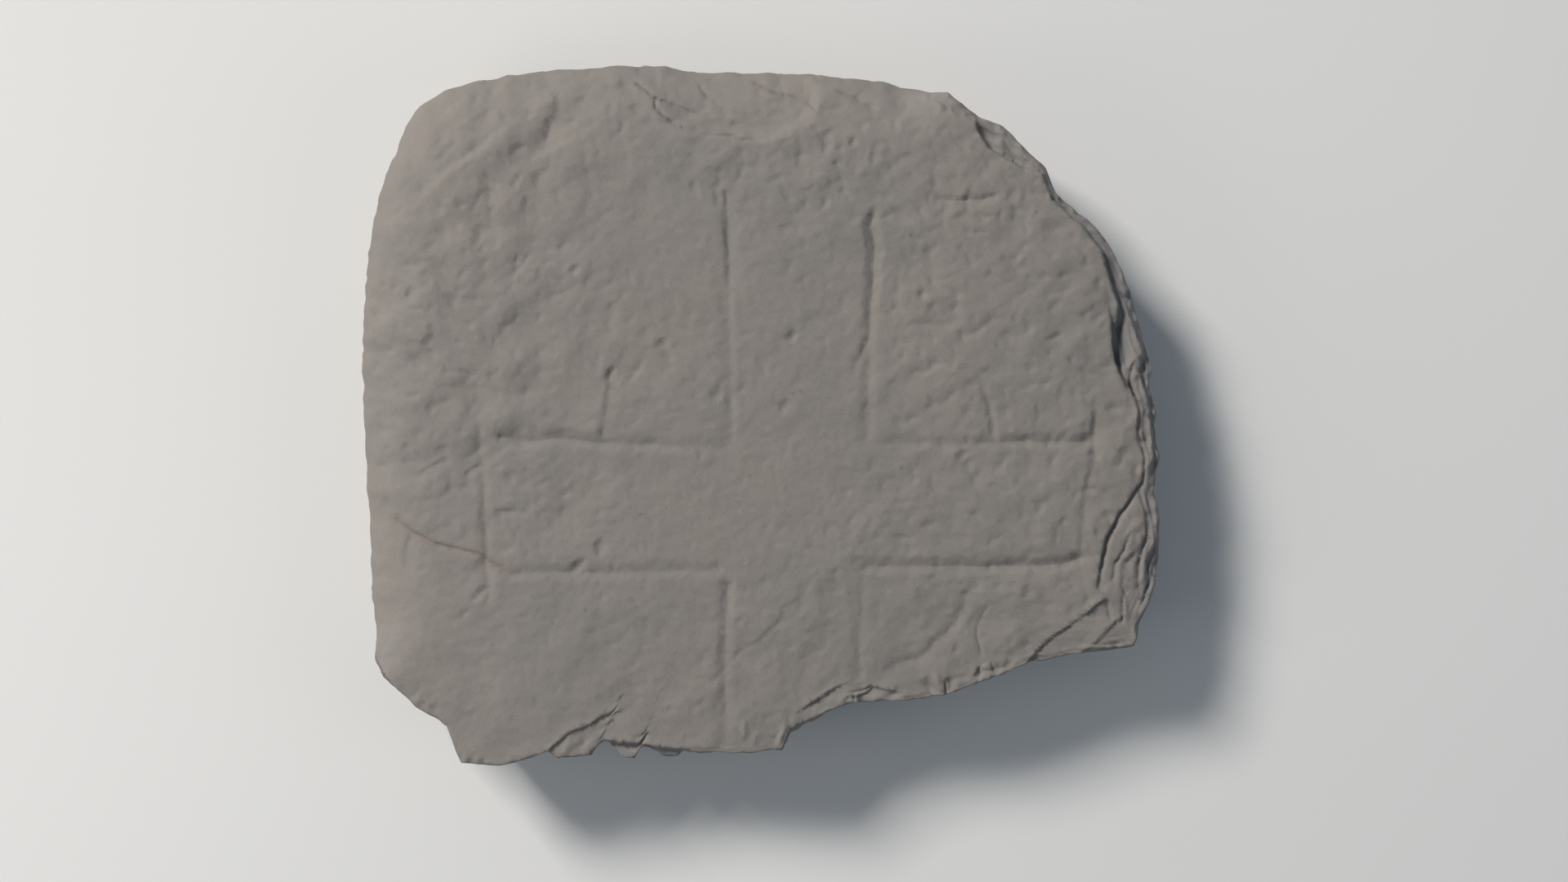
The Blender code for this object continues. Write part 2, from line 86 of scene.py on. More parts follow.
def foot_middle(low: Array, high: Array) -> Array:
    """The middle of a box's underside, from its lowest and highest corners."""
    return np.array(((low[0] + high[0]) / 2, (low[1] + high[1]) / 2, low[2]))


@dataclass(frozen=True)
class Unevenness:
    """A smooth random rise and fall, the same each run."""

    spacing: float
    lift: float
    level: float

    def at(self, x: Array, y: Array, z: Array | None = None) -> Array:
        """Reads the rise and fall at points.

        Args:
            x: Places along X, in metres.
            y: Places along Y, in metres.
            z: Heights, in metres, where the unevenness runs through the stone.

        Returns:
            Heights from about minus the lift to the lift.
        """
        a = (x / self.spacing).tolist()
        b = (y / self.spacing).tolist()
        if z is None:
            return self.lift * np.array([noise.noise((p, q, self.level)) for p, q in zip(a, b)])
        c = (z / self.spacing + self.level).tolist()
        return self.lift * np.array([noise.noise((p, q, r)) for p, q, r in zip(a, b, c)])


@dataclass(frozen=True)
class Plan:
    """The slab's size, and its places: (u, v), from -1 to 1 over its width and its length."""

    width: float
    length: float
    thickness: float

    def metres(self, places: Places | Place) -> Array:
        """Places on the slab as metres from its middle."""
        return np.array(places) * (self.width / 2, self.length / 2)


def path(*thousandths: int) -> Places:
    """A row of places from u, v, u, v and so on, in thousandths."""
    return tuple((u / 1000, v / 1000) for u, v in zip(thousandths[::2], thousandths[1::2]))


@dataclass(frozen=True)
class SideShape:
    """How one stretch of the rim is worn or broken, from the face down to the underside."""

    brink: float
    chip: float
    splinter: float
    turn: float
    foot_inset: float
    ledge: float
    sheet: float
    grit: float
    jag: float
    retreat: float


class Stretch(Enum):
    """The rim's three stretches: the weathered head, the broken side and the broken foot."""

    HEAD = SideShape(brink=0.0010, chip=0.0, splinter=0.0, turn=0.12, foot_inset=0.016, ledge=0.0012,
                     sheet=0.0006, grit=0.0012, jag=0.0016, retreat=0.3)
    BREAK = SideShape(brink=0.0015, chip=0.0030, splinter=1.0, turn=0.30, foot_inset=0.008, ledge=0.0070,
                      sheet=0.0022, grit=0.0011, jag=0.0014, retreat=0.7)
    FOOT = SideShape(brink=0.0005, chip=0.0006, splinter=0.25, turn=0.10, foot_inset=0.012, ledge=0.0080,
                     sheet=0.0024, grit=0.0012, jag=0.0014, retreat=0.9)


SIDE_STARTS = math.radians(-34)
HEAD_STARTS = math.radians(62)
FOOT_STARTS = math.radians(212)
STRETCH_BLEND = math.radians(9)


def stretch_weights(angle: Array) -> dict[Stretch, Array]:
    """How far each angle of the rim belongs to each stretch.

    Args:
        angle: Turns from +X, in radians.

    Returns:
        A share from 0 to 1 for each stretch and angle, which add up to 1.
    """
    turned = np.mod(angle - FOOT_STARTS, math.tau) + FOOT_STARTS - math.tau
    starts = (SIDE_STARTS, HEAD_STARTS, FOOT_STARTS)
    past_side, past_head, past_foot = (ease((turned - start) / STRETCH_BLEND + 0.5) for start in starts)
    near_foot = ease(0.5 - (turned - FOOT_STARTS + math.tau) / STRETCH_BLEND)
    head = np.clip(past_head - past_foot + near_foot, 0.0, 1.0)
    side = past_side - past_head
    return {Stretch.HEAD: head, Stretch.BREAK: side, Stretch.FOOT: 1.0 - head - side}


def rim_value(angle: Array, name: str) -> Array:
    """One of the side shapes' values, blended where the stretches meet."""
    return sum(weight * getattr(stretch.value, name) for stretch, weight in stretch_weights(angle).items())


def to_line(x: Array, y: Array, points: Array) -> tuple[Array, Array, float]:
    """Measures points against a line of straight runs.

    Args:
        x: Places along X, in metres.
        y: Places along Y, in metres.
        points: The line's corners, in metres.

    Returns:
        The distance of each point, below zero on the right-hand side of the line, the share of the line's
        length where it is nearest, and that length.
    """
    lengths = np.hypot(*(points[1:] - points[:-1]).T)
    starts = np.concatenate(((0.0,), np.cumsum(lengths)))
    nearest = np.full(x.shape, np.inf)
    along = np.zeros(x.shape)
    side = np.ones(x.shape)
    for (ax, ay), (bx, by), length, start in zip(points, points[1:], lengths, starts):
        share = np.clip(((x - ax) * (bx - ax) + (y - ay) * (by - ay)) / length**2, 0.0, 1.0)
        distance = np.hypot(x - ax - share * (bx - ax), y - ay - share * (by - ay))
        closer = distance < nearest
        nearest = np.where(closer, distance, nearest)
        along = np.where(closer, (start + share * length) / starts[-1], along)
        left = (bx - ax) * (y - ay) > (by - ay) * (x - ax)
        side = np.where(closer, np.where(left, 1.0, -1.0), side)
    return nearest * side, along, float(starts[-1])


def beyond_line(x: Array, y: Array, points: Array) -> Array:
    """Which points lie outwards of a line, seen from the slab's middle."""
    far_out = 3.0
    corners = np.vstack((points, points[-1] * far_out, points[0] * far_out))
    outwards = np.zeros(x.shape, dtype=bool)
    for (ax, ay), (bx, by) in zip(corners, np.roll(corners, -1, axis=0)):
        if ay != by:
            crosses = (ay > y) != (by > y)
            outwards ^= crosses & (x < (bx - ax) * (y - ay) / (by - ay) + ax)
    return outwards


def spread(along: Array, shares: Shares) -> Array:
    """Reads shares that are spread evenly from the start of a line to its end."""
    return np.interp(along, np.linspace(0.0, 1.0, len(shares)), shares)


@dataclass(frozen=True)
class Cut:
    """A line sunk in the face, with its depth from start to end as shares.

    A lean above zero makes its left-hand wall the wider one.
    """

    places: Places
    width: float
    depth: float
    shares: Shares = (1.0, 1.0)
    lean: float = 0.0
    bank: float = 0.0

    def depth_at(self, x: Array, y: Array, plan: Plan) -> Array:
        """How deep the line is at each point: a V that fades at its ends, between low banks."""
        end_fade, end_depth, curve = 0.006, 0.4, 1.4
        bank_place, bank_width = 1.3, 0.7
        offset, along, length = to_line(x, y, plan.metres(self.places))
        fade = ease(end_depth + np.minimum(along, 1.0 - along) * length / end_fade)
        reach = self.width / 2 * (1.0 + self.lean * np.sign(offset))
        wall = np.clip(1.0 - np.abs(offset) / reach, 0.0, 1.0) ** curve
        bank = self.bank * bell(np.abs(offset) - reach * bank_place, reach * bank_width)
        return spread(along, self.shares) * fade * (self.depth * wall - bank)


@dataclass(frozen=True)
class Bed:
    """A line where a layer of the stone ends: outwards of it, the surface lies lower."""

    places: Places
    drop: float
    ramp: float
    lip: float = 0.0
    shares: Shares = (1.0, 1.0)
    reach: float = 1.0
    ribs: float = 0.0

    def depth_at(self, x: Array, y: Array, plan: Plan) -> Array:
        """How much lower the surface is beyond the line, less the lip along it."""
        lip_width, rib_spacing, rib_fade = 0.0030, 0.009, 0.030
        points = plan.metres(self.places)
        distance = np.abs(to_line(x, y, points)[0])
        ends = np.arctan2(points[:, 1], points[:, 0])[[0, -1]]
        share = spread(self.turned(np.arctan2(y, x), *ends), self.shares)
        fall = self.drop * ease(distance / self.ramp) * bell(distance, self.reach)
        waves = self.ribs * np.sin(distance / rib_spacing * math.tau) * np.exp(-distance / rib_fade)
        lip = self.lip * np.exp(-distance / lip_width)
        return share * np.where(beyond_line(x, y, points), fall + waves, -lip)

    @staticmethod
    def turned(angle: Array, start: float, end: float) -> Array:
        """How far each angle lies from the line's start to its end, from 0 to 1."""
        def apart(turn: Array | float) -> Array:
            """A turn as one from minus half a turn to half a turn."""
            return np.mod(turn + math.pi, math.tau) - math.pi
        return np.clip(apart(angle - start) / apart(end - start), 0.0, 1.0)


@dataclass(frozen=True)
class Dent:
    """A small hollow in the face, longer one way than the other; below zero deep, it is a bump."""

    place: Place
    reach_along: float
    reach_across: float
    turn: float
    depth: float

    def depth_at(self, x: Array, y: Array, plan: Plan) -> Array:
        """How deep the hollow is at each point."""
        px, py = plan.metres(self.place)
        along = (x - px) * math.cos(self.turn) + (y - py) * math.sin(self.turn)
        across = (y - py) * math.cos(self.turn) - (x - px) * math.sin(self.turn)
        return self.depth * self.nearness(along / self.reach_along, across / self.reach_across)

    @staticmethod
    def nearness(along: Array, across: Array) -> Array:
        """A smooth hollow: 1 at its middle and 0 from its rim on."""
        curve = 1.5
        return np.clip(1.0 - along**2 - across**2, 0.0, 1.0) ** curve


class Chip(Dent):
    """A dent with flat sides and sharp edges, as a blow leaves."""

    @staticmethod
    def nearness(along: Array, across: Array) -> Array:
        """A hollow of four flat sides: 1 at its middle and 0 from its rim on."""
        return np.clip(1.0 - np.maximum(np.abs(along), np.abs(across)), 0.0, 1.0)


@dataclass(frozen=True)
class CrossCarving:
    """The outlined cross: its shaft, arms and the bars that close them, and the strokes beside it."""

    groove: float = 0.0155
    groove_depth: float = 0.0027
    stroke: float = 0.0100
    stroke_depth: float = 0.0017
    upright_lean: float = -0.10
    level_lean: float = 0.10
    bank: float = 0.0002

    def upright(self, places: Places, shares: Shares) -> Cut:
        """A line of the cross cut from above downwards."""
        return Cut(places, self.groove, self.groove_depth, shares, self.upright_lean, self.bank)

    def level(self, places: Places, shares: Shares) -> Cut:
        """A line of the cross cut from left to right."""
        return Cut(places, self.groove, self.groove_depth, shares, self.level_lean, self.bank)

    def mark(self, places: Places, shares: Shares, lean: float = 0.0) -> Cut:
        """A short stroke beside the cross."""
        return Cut(places, self.stroke, self.stroke_depth, shares, lean)

    @property
    def shaft(self) -> tuple[Cut, ...]:
        """The shaft's sides, above and below the arms."""
        return (
            Cut(path(-82, 632, -79, 520, -76, 360), 0.0160, 0.0024, (0.8, 1.0, 0.5), 0.40),
            Cut(path(-78, 420, -74, 241, -72, 80, -70, -81), 0.0200, 0.0015, (0.6, 1.0, 0.9, 0.8), -0.40),
            self.upright(path(283, 560, 270, 525, 280, 502, 285, 456, 279, 368, 273, 290, 270, 241, 264,
                              -84), (1.4, 1.1, 0.65, 0.5)),
            self.mark(path(364, 556, 330, 568, 300, 545), (0.3, 0.6, 0.6)),
            self.upright(path(-79, -477, -85, -680, -86, -956), (0.9, 0.6, 0.3)),
            self.upright(path(256, -431, 249, -588, 246, -761), (0.25, 0.35, 0.4)),
        )

    @property
    def arms(self) -> tuple[Cut, ...]:
        """The arms' long sides."""
        return (
            self.level(path(-651, -68, -581, -81, -481, -73, -390, -85, -260, -92, -73, -96),
                       (1.2, 0.8, 0.4)),
            self.level(path(257, -87, 504, -89, 665, -80, 816, -83), (0.35, 0.6, 1.1)),
            self.level(path(-662, -432, -621, -453, -400, -451, -89, -443), (0.65, 0.7, 0.55)),
            self.level(path(253, -435, 544, -433, 745, -429, 796, -413), (0.75, 1.05, 1.3)),
        )

    @property
    def bars(self) -> tuple[Cut, ...]:
        """The two bars that close the arms."""
        return (
            Cut(path(-701, 115, -696, 11, -680, -220, -674, -427, -670, -538), 0.0120, 0.0019,
                (0.2, 0.7, 1.0), 0.1, self.bank),
            Cut(path(829, 29, 824, -81, 822, -150, 804, -225, 795, -335, 787, -427), 0.0150, 0.0022,
                (1.0, 0.7, 0.15), 0.35),
            Cut(path(790, -325, 789, -417, 797, -496), 0.0150, 0.0005, (0.6, 1.0, 0.5), 0.6),
        )

    @property
    def strokes(self) -> tuple[Cut, ...]:
        """The short cut marks beside the cross."""
        return (
            Cut(path(-367, 110, -373, 11, -391, -67), 0.0165, 0.0015, (1.1, 1.2, 1.0), 0.4),
            self.mark(path(-282, 149, -328, 85), (0.4, 0.8, 0.7)),
            self.mark(path(543, 91, 564, 34, 580, -72), (0.7, 1.1, 1.2)),
            self.mark(path(268, 208, 232, 127), (1.0, 1.1, 0.6)),
            self.mark(path(430, 609, 494, 599, 545, 604, 589, 620), (0.7, 1.8, 1.0), -0.1),
            self.mark(path(-651, -281, -591, -281), (0.8, 1.3, 0.8), -0.2),
        )

    @property
    def cuts(self) -> tuple[Cut, ...]:
        """Every cut line."""
        return (*self.shaft, *self.arms, *self.bars, *self.strokes)


@dataclass(frozen=True)
class Damage:
    """What has cracked, flaked or been knocked off the slab."""

    crack: float = 0.0042
    crack_depth: float = 0.0026
    bed_drop: float = 0.0100
    bed_ramp: float = 0.0030
    flake_drop: float = 0.0011
    flake_ramp: float = 0.0012
    flake_lip: float = 0.0014

    @property
    def left_crack(self) -> Cut:
        """The thin crack with a rusty tint that crosses the left side."""
        return Cut(path(-903, -300, -864, -336, -804, -370, -693, -400, -621, -450), 0.0070, 0.0024,
                   (0.9, 0.9, 0.4), -0.2)

    @property
    def head_cracks(self) -> tuple[Cut, ...]:
        """The gully and the hollow at the head's left corner, and the cracks round the shell-shaped scar."""
        thin = (self.crack, self.crack_depth)
        wide = (0.0080, 0.0016)
        return (
            Cut(path(-558, 945, -517, 924, -501, 903, -499, 850, -521, 811, -533, 749), 0.0200, 0.0023,
                (0.2, 1.0, 0.9, 0.4), 0.5),
            Cut(path(-680, 691, -672, 643, -670, 596), 0.0180, 0.0020, (0.4, 0.9, 1.1), 0.35),
            Cut(path(-306, 940, -286, 919, -260, 894, -218, 875, -175, 855, -119, 843), *thin,
                (1.4, 1.3, 0.9, 0.6)),
            Cut(path(-260, 894, -258, 864, -232, 836, -206, 813), *thin, (1.2, 1.5, 1.3)),
            Cut(path(-206, 813, -165, 797, -115, 786, -67, 786, -45, 774, 12, 772), *thin,
                (1.0, 0.5, 0.8, 1.1, 0.5)),
            Cut(path(-151, 933, -135, 905, -99, 875), 0.0048, 0.0022, (1.2, 1.0, 0.5)),
            Cut(path(-18, 945, 22, 922, 42, 908, 92, 896, 126, 878, 141, 852), 0.0064, 0.0030,
                (0.8, 1.1, 0.9, 0.6), 0.3),
            Cut(path(193, 917, 237, 898, 283, 864), *wide, (1.2, 1.5, 1.6), 0.2),
        )

    @property
    def foot_cracks(self) -> tuple[Cut, ...]:
        """The cracks and short marks at the left side, on the broken side and towards the foot."""
        thin = (self.crack, self.crack_depth)
        wide = (0.0080, 0.0014)
        return (
            Cut(path(-864, -347, -876, -386, -882, -455), 0.0130, 0.0013, (1.1, 1.0, 0.4), 0.5),
            Cut(path(-773, -132, -843, -174), *wide, (0.8, 1.2, 1.0), 0.3),
            Cut(path(-686, -146, -722, -169), *wide, (1.0, 0.8, 0.5), 0.3),
            Cut(path(143, -450, 106, -512, 58, -556, 46, -593, 6, -637, -26, -655, -79, -708, -119, -768),
                0.0060, 0.0006, (0.6, 1.3, 0.7), 0.2),
            Cut(path(538, -485, 512, -515, 486, -589, 461, -623, 431, -653, 405, -688, 361, -704, 304, -722),
                0.0150, 0.0015, (0.9, 1.2, 0.4)),
            Cut(path(565, -538, 537, -600, 539, -639, 551, -690), 0.0050, 0.0012, (0.7, 0.9, 1.2)),
            Cut(path(897, -519, 899, -561, 897, -600), *thin, (0.6, 0.9, 0.6)),
            Cut(path(857, -542, 871, -588), *thin, (0.8, 0.8)),
            Cut(path(917, -339, 901, -393, 879, -427, 871, -478), *thin, (0.5, 0.9, 0.7)),
            Cut(path(915, 89, 939, 11, 937, -58, 953, -127, 947, -197, 891, -289, 855, -367, 841, -450, 837,
                     -501), 0.0060, 0.0044, (0.7, 0.8, 0.7, 0.9, 1.1, 1.1, 0.7)),
            Cut(path(939, -220, 951, -277, 959, -346, 939, -427, 935, -501), 0.0046, 0.0036,
                (0.5, 1.0, 0.7)),
            Cut(path(927, 149, 915, 94, 927, 43), 0.0046, 0.0036, (0.8, 1.0, 0.6)),
            Cut(path(872, 262, 878, 190, 893, 110, 915, 62), 0.0070, 0.0050, (0.7, 1.1, 0.7)),
            Cut(path(796, -568, 756, -612, 710, -651, 686, -678), 0.0030, 0.0022, (0.8, 1.0, 1.0)),
            Cut(path(281, -768, 263, -784, 245, -791, 223, -791), 0.0034, 0.0034, (0.9, 1.1, 0.5)),
            Cut(path(235, -794, 235, -828), 0.0030, 0.0030),
            Cut(path(458, -764, 460, -805), 0.0036, 0.0034),
            Cut(path(547, -713, 543, -731, 549, -750), 0.0030, 0.0022, (0.7, 1.0)),
            Cut(path(573, -708, 579, -734), 0.0030, 0.0020, (0.8, 0.8)),
        )

    @property
    def layers(self) -> tuple[Bed, ...]:
        """The layers that the broken side shows, from the front one down."""
        front = Bed(path(417, 898, 461, 856, 530, 824, 538, 796, 562, 746, 606, 713, 695, 674, 719, 598,
                         792, 533, 844, 455, 864, 367, 884, 307, 876, 225, 872, 165, 890, 110, 917, 62, 943,
                         13, 939, -44, 957, -132, 947, -197, 917, -248, 872, -319, 850, -377, 838, -451,
                         836, -502, 851, -527), self.bed_drop, self.bed_ramp, 0.0006,
                    (0.15, 0.7, 0.6, 0.9, 1.0, 0.6, 0.25, 0.25, 0.16))
        corner = Bed(path(851, -527, 797, -573, 741, -619, 698, -660, 662, -702), 0.0016, self.flake_ramp,
                     self.flake_lip)
        corner_foot = Bed(path(880, -592, 852, -624, 818, -661, 768, -698), 0.0020, self.flake_ramp,
                          self.flake_lip, (0.8, 0.8))
        second = Bed(path(896, 330, 922, 250, 946, 176, 938, 116, 962, 12, 972, -128, 950, -228, 952, -295,
                          960, -351, 924, -393, 893, -425, 885, -497, 903, -532, 905, -569, 880, -592),
                     self.bed_drop, self.bed_ramp, 0.0006, (0.3, 0.6, 0.6, 0.4, 0.3, 0.25, 0.2))
        third = Bed(path(971, -315, 973, -367, 952, -418, 952, -484, 936, -538), self.bed_drop,
                    self.bed_ramp, 0.0, (0.1, 0.7, 0.1))
        return front, corner, corner_foot, second, third

    @property
    def head_scars(self) -> tuple[Bed, ...]:
        """The shell-shaped scar at the head, and the two low steps beside it at the left corner."""
        step = (0.0080, 0.0, (0.0, 1.0, 1.0, 0.0), 0.045)
        shell = Bed(path(-297, 954, -261, 901, -255, 867, -208, 816, -160, 793, -19, 769, 72, 779, 123, 816,
                         149, 871, 143, 948), 0.0050, 0.009, 0.0, (0.4, 0.8, 1.0, 0.7), ribs=0.0005)
        return (
            shell,
            Bed(path(-517, 887, -582, 827, -652, 772, -692, 726, -753, 686, -793, 645, -829, 606, -880, 537),
                0.0030, *step),
            Bed(path(-370, 829, -431, 781, -477, 753, -537, 721, -566, 679, -590, 620), 0.0024, *step),
        )

    @property
    def flakes(self) -> tuple[Bed, ...]:
        """Thin flakes gone from the foot, and the low steps of two older scars."""
        thin = (self.flake_drop, self.flake_ramp, self.flake_lip)
        scar = (0.0009, 0.0070, 0.0, (0.0, 1.0, 0.0), 0.050)
        return (
            Bed(path(-534, -972, -518, -951, -502, -935, -472, -905, -421, -882, -393, -859, -310, -827),
                *thin, (1.2, 1.1, 0.9, 0.0)),
            Bed(path(-396, -990, -402, -925, -340, -934, -230, -946, -170, -952, -166, -990), 0.0060,
                0.0024, 0.0006),
            Bed(path(86, -856, 98, -844, 143, -810, 187, -775, 233, -754), *thin, (0.0, 1.1, 1.1, 0.6, 0.0),
                0.014),
            Bed(path(203, -824, 215, -803, 240, -803, 262, -792, 280, -772, 324, -787, 398, -815), 0.0020,
                self.flake_ramp, 0.0016, (0.0, 1.2, 1.0, 0.3, 0.0)),
            Bed(path(142, -450, 52, -565, -8, -634, -79, -703, -119, -761), *scar),
            Bed(path(527, -482, 500, -531, 468, -588, 414, -660, 360, -687, 299, -708), *scar),
        )

    @property
    def cracks(self) -> tuple[Cut, ...]:
        """Every crack and gully but the rusty one at the left."""
        return (*self.head_cracks, *self.foot_cracks)

    @property
    def beds(self) -> tuple[Bed, ...]:
        """Every line where a layer or a flake ends."""
        return (*self.layers, *self.head_scars, *self.flakes)


@dataclass(frozen=True)
class Dents:
    """The pits, picks and bruises that stand out on the face, and the chips along its broken edges.

    Each row holds a place in thousandths, the reach along and across in millimetres, the turn in degrees and
    the depth in millimetres.
    """

    HEAD_LEFT = (
        (-682, 841, 14, 6, 30, 1.2), (-735, 803, 9, 4, 10, 0.8), (-527, 790, 9, 7, 70, 1.1),
        (-763, 885, 4, 3, 150, 0.9), (-481, 942, 6, 4, 0, 1.2), (-799, 765, 14, 5, 55, 0.9),
        (-708, 744, 6, 4, 45, 0.7), (-606, 714, 18, 8, 48, 0.7), (-793, 576, 7, 5, 60, 1.2),
        (-789, 516, 6, 5, 60, 1.0), (-813, 467, 7, 5, 60, 1.0), (-823, 366, 9, 5, 30, 1.2),
        (-861, 341, 7, 5, 30, 1.0), (-894, 576, 6, 4, 70, 0.8), (-698, 484, 7, 5, 60, 0.9),
        (-652, 477, 7, 5, 60, 0.8), (-596, 435, 5, 3, 60, 1.6), (-529, 424, 5, 4, 60, 1.0),
        (-457, 405, 6, 4, 60, 1.7), (-618, 350, 9, 5, 50, 1.1), (-427, 587, 12, 5, 40, 0.8),
        (-596, 380, 6, 4, 60, -0.8), (-563, 330, 7, 5, 60, -0.7),
    )
    HEAD = (
        (229, 767, 5, 4, 60, 2.2), (197, 749, 7, 4, 25, 0.9), (-175, 696, 9, 7, 30, 0.7),
        (82, 732, 15, 8, 40, 0.7), (157, 583, 7, 4, 50, 0.9), (86, 564, 9, 4, 20, 0.7),
        (368, 818, 6, 4, 55, 0.9), (396, 799, 6, 4, 60, 0.9), (317, 881, 9, 8, 0, -1.0),
        (539, 507, 8, 4, 30, 0.8), (386, 495, 8, 4, 170, 0.8), (650, 472, 6, 4, 60, 0.8),
        (646, 414, 10, 5, 50, 0.9), (730, 304, 9, 4, 45, 1.2), (625, 615, 8, 6, 50, 1.4),
        (690, 571, 7, 5, 60, 0.8), (511, 583, 7, 4, 90, 0.7), (398, 331, 7, 4, 70, 1.6),
        (460, 855, 5, 4, 40, 1.3),
    )
    MIDDLE = (
        (475, 138, 5, 4, 50, 0.8), (368, -17, 7, 4, 80, 0.8), (410, 11, 5, 4, 80, 0.7),
        (501, -118, 8, 5, 45, 1.4), (750, -63, 9, 4, 45, 0.8), (211, -220, 5, 5, 0, 0.9),
        (639, -185, 10, 4, 60, 0.7), (-819, 202, 8, 5, 40, 1.5), (-368, 110, 8, 5, 55, 2.1),
        (-242, 195, 8, 5, 30, 2.0), (-228, 168, 10, 6, 115, 1.6), (-743, -37, 14, 5, 20, 0.8),
        (-481, -229, 5, 4, 0, 2.0), (-572, -197, 14, 5, 33, 0.8), (-646, -109, 16, 5, 35, 0.8),
        (-924, -259, 7, 6, 30, 1.3), (-107, 52, 9, 6, 60, 2.3), (78, 218, 7, 5, 60, 1.8),
        (60, 16, 8, 5, 60, 2.0), (-145, -118, 4, 4, 0, 0.8),
    )
    FOOT = (
        (-692, -512, 9, 5, 50, 2.4), (-731, -570, 4, 3, 50, 1.3), (-692, -439, 9, 5, 65, 1.2),
        (-391, -381, 9, 6, 90, 2.2), (-447, -432, 9, 5, 35, 2.4), (-139, -699, 4, 4, 50, 0.8),
        (619, -646, 7, 4, 85, 0.8), (658, -658, 5, 4, 30, 0.8), (619, -522, 6, 4, 45, 0.8),
        (-40, -897, 12, 4, 87, -1.3), (-12, -925, 8, 3, 80, -0.9),
    )
    CHIPS = (
        (833, 269, 9, 4, 50, 1.3), (893, 215, 26, 7, 98, 7.0), (925, 150, 14, 5, 75, -2.5),
        (930, -10, 11, 5, 65, -2.0), (958, -80, 12, 4, 80, 2.0), (925, -330, 12, 5, 60, -1.6),
        (-803, -837, 5, 4, 30, 1.8), (418, -776, 8, 4, 125, 3.2), (440, -763, 9, 4, 118, -2.6),
        (472, -770, 6, 4, 100, 3.4), (541, -741, 7, 4, 60, 3.4), (556, -722, 6, 4, 20, -2.4),
        (585, -728, 6, 4, 45, 3.0), (612, -716, 6, 4, 60, 2.4), (237, -820, 6, 5, 20, -2.6),
        (285, -812, 8, 5, 10, -2.6), (330, -800, 8, 4, 35, 2.6), (52, -915, 10, 3, 65, -1.6),
        (36, -925, 9, 3, 60, 1.4), (560, 790, 12, 5, 140, 2.2), (600, 755, 9, 5, 120, -2.0),
        (640, 715, 10, 5, 150, 2.0), (-480, -950, 9, 4, 50, -1.6), (-440, -940, 9, 4, 60, 2.0),
        (-290, -925, 8, 4, 10, 1.6), (-742, -985, 4, 3, 70, 2.2), (-712, -988, 4, 3, 80, 2.0),
        (-684, -992, 4, 3, 100, 1.8), (-845, -815, 5, 4, 40, -1.6),
    )

    @property
    def all(self) -> tuple[Dent, ...]:
        """Every dent and chip, with its sizes in metres and its turn in radians."""
        kinds = ((Dent, (*self.HEAD_LEFT, *self.HEAD, *self.MIDDLE, *self.FOOT)), (Chip, self.CHIPS))
        return tuple(kind((u / 1000, v / 1000), along / 1000, across / 1000, math.radians(turn), depth / 1000)
                     for kind, rows in kinds for u, v, along, across, turn, depth in rows)


@dataclass(frozen=True)
class Weathering:
    """The worn texture of the face: slanting ripples, pecking and grain.

    It is calm in the middle and stronger towards the sides. A rise says where the change starts and how far
    it runs, as shares of half the slab's width or length.
    """

    slant: float = math.radians(40)
    ripple_stretch: float = 0.38
    ripples: Unevenness = Unevenness(0.015, 0.0013, 11.3)
    hummocks: Unevenness = Unevenness(0.027, 0.0014, 12.9)
    pecks: Unevenness = Unevenness(0.0095, 0.0026, 17.2)
    grain: Unevenness = Unevenness(0.0045, 0.0005, 19.6)
    patches: Unevenness = Unevenness(0.120, 1.0, 23.1)
    peck_share: float = 0.1
    left: Rise = (0.25, 0.40)
    over_foot: Rise = (-0.50, 0.50)
    right: Rise = (0.20, 0.25)
    head: Rise = (0.40, 0.40)
    foot: Rise = (0.35, 0.30)
    calm: float = 0.42
    calmer_foot: float = 0.14
    strength_left: float = 0.6
    strength_round: float = 0.5
    strength_patch: float = 0.5
    strength_limits: tuple[float, float] = (0.2, 1.5)
    swell_left: float = 1.9
    swell_round: float = 0.7
    swell_foot: float = 0.5

    def relief(self, x: Array, y: Array, plan: Plan) -> Array:
        """Small rises and falls of the face.

        Args:
            x: Places along X, in metres.
            y: Places along Y, in metres.
            plan: The slab's size.

        Returns:
            Heights over the smooth face, in metres.
        """
        u = x / (plan.width / 2)
        v = y / (plan.length / 2)
        along = x * math.cos(self.slant) + y * math.sin(self.slant)
        across = y * math.cos(self.slant) - x * math.sin(self.slant)
        patch = self.patches.at(x, y)
        left = rise(-u, *self.left) * rise(v, *self.over_foot)
        beyond = np.maximum(rise(u, *self.right), rise(v, *self.head))
        foot = rise(-v, *self.foot)
        calm = self.calm - self.calmer_foot * foot
        worn = np.maximum(self.strength_left * left, self.strength_round * beyond)
        strength = np.clip(calm + worn + self.strength_patch * patch, *self.strength_limits)
        ripple = self.ripples.at(along * self.ripple_stretch, across)
        peck = np.minimum(self.pecks.at(x, y) + self.pecks.lift * self.peck_share, 0.0)
        swollen = calm + self.swell_left * left + self.swell_round * beyond + self.swell_foot * foot
        return strength * (ripple + peck) + swollen * self.hummocks.at(x, y) + self.grain.at(x, y)


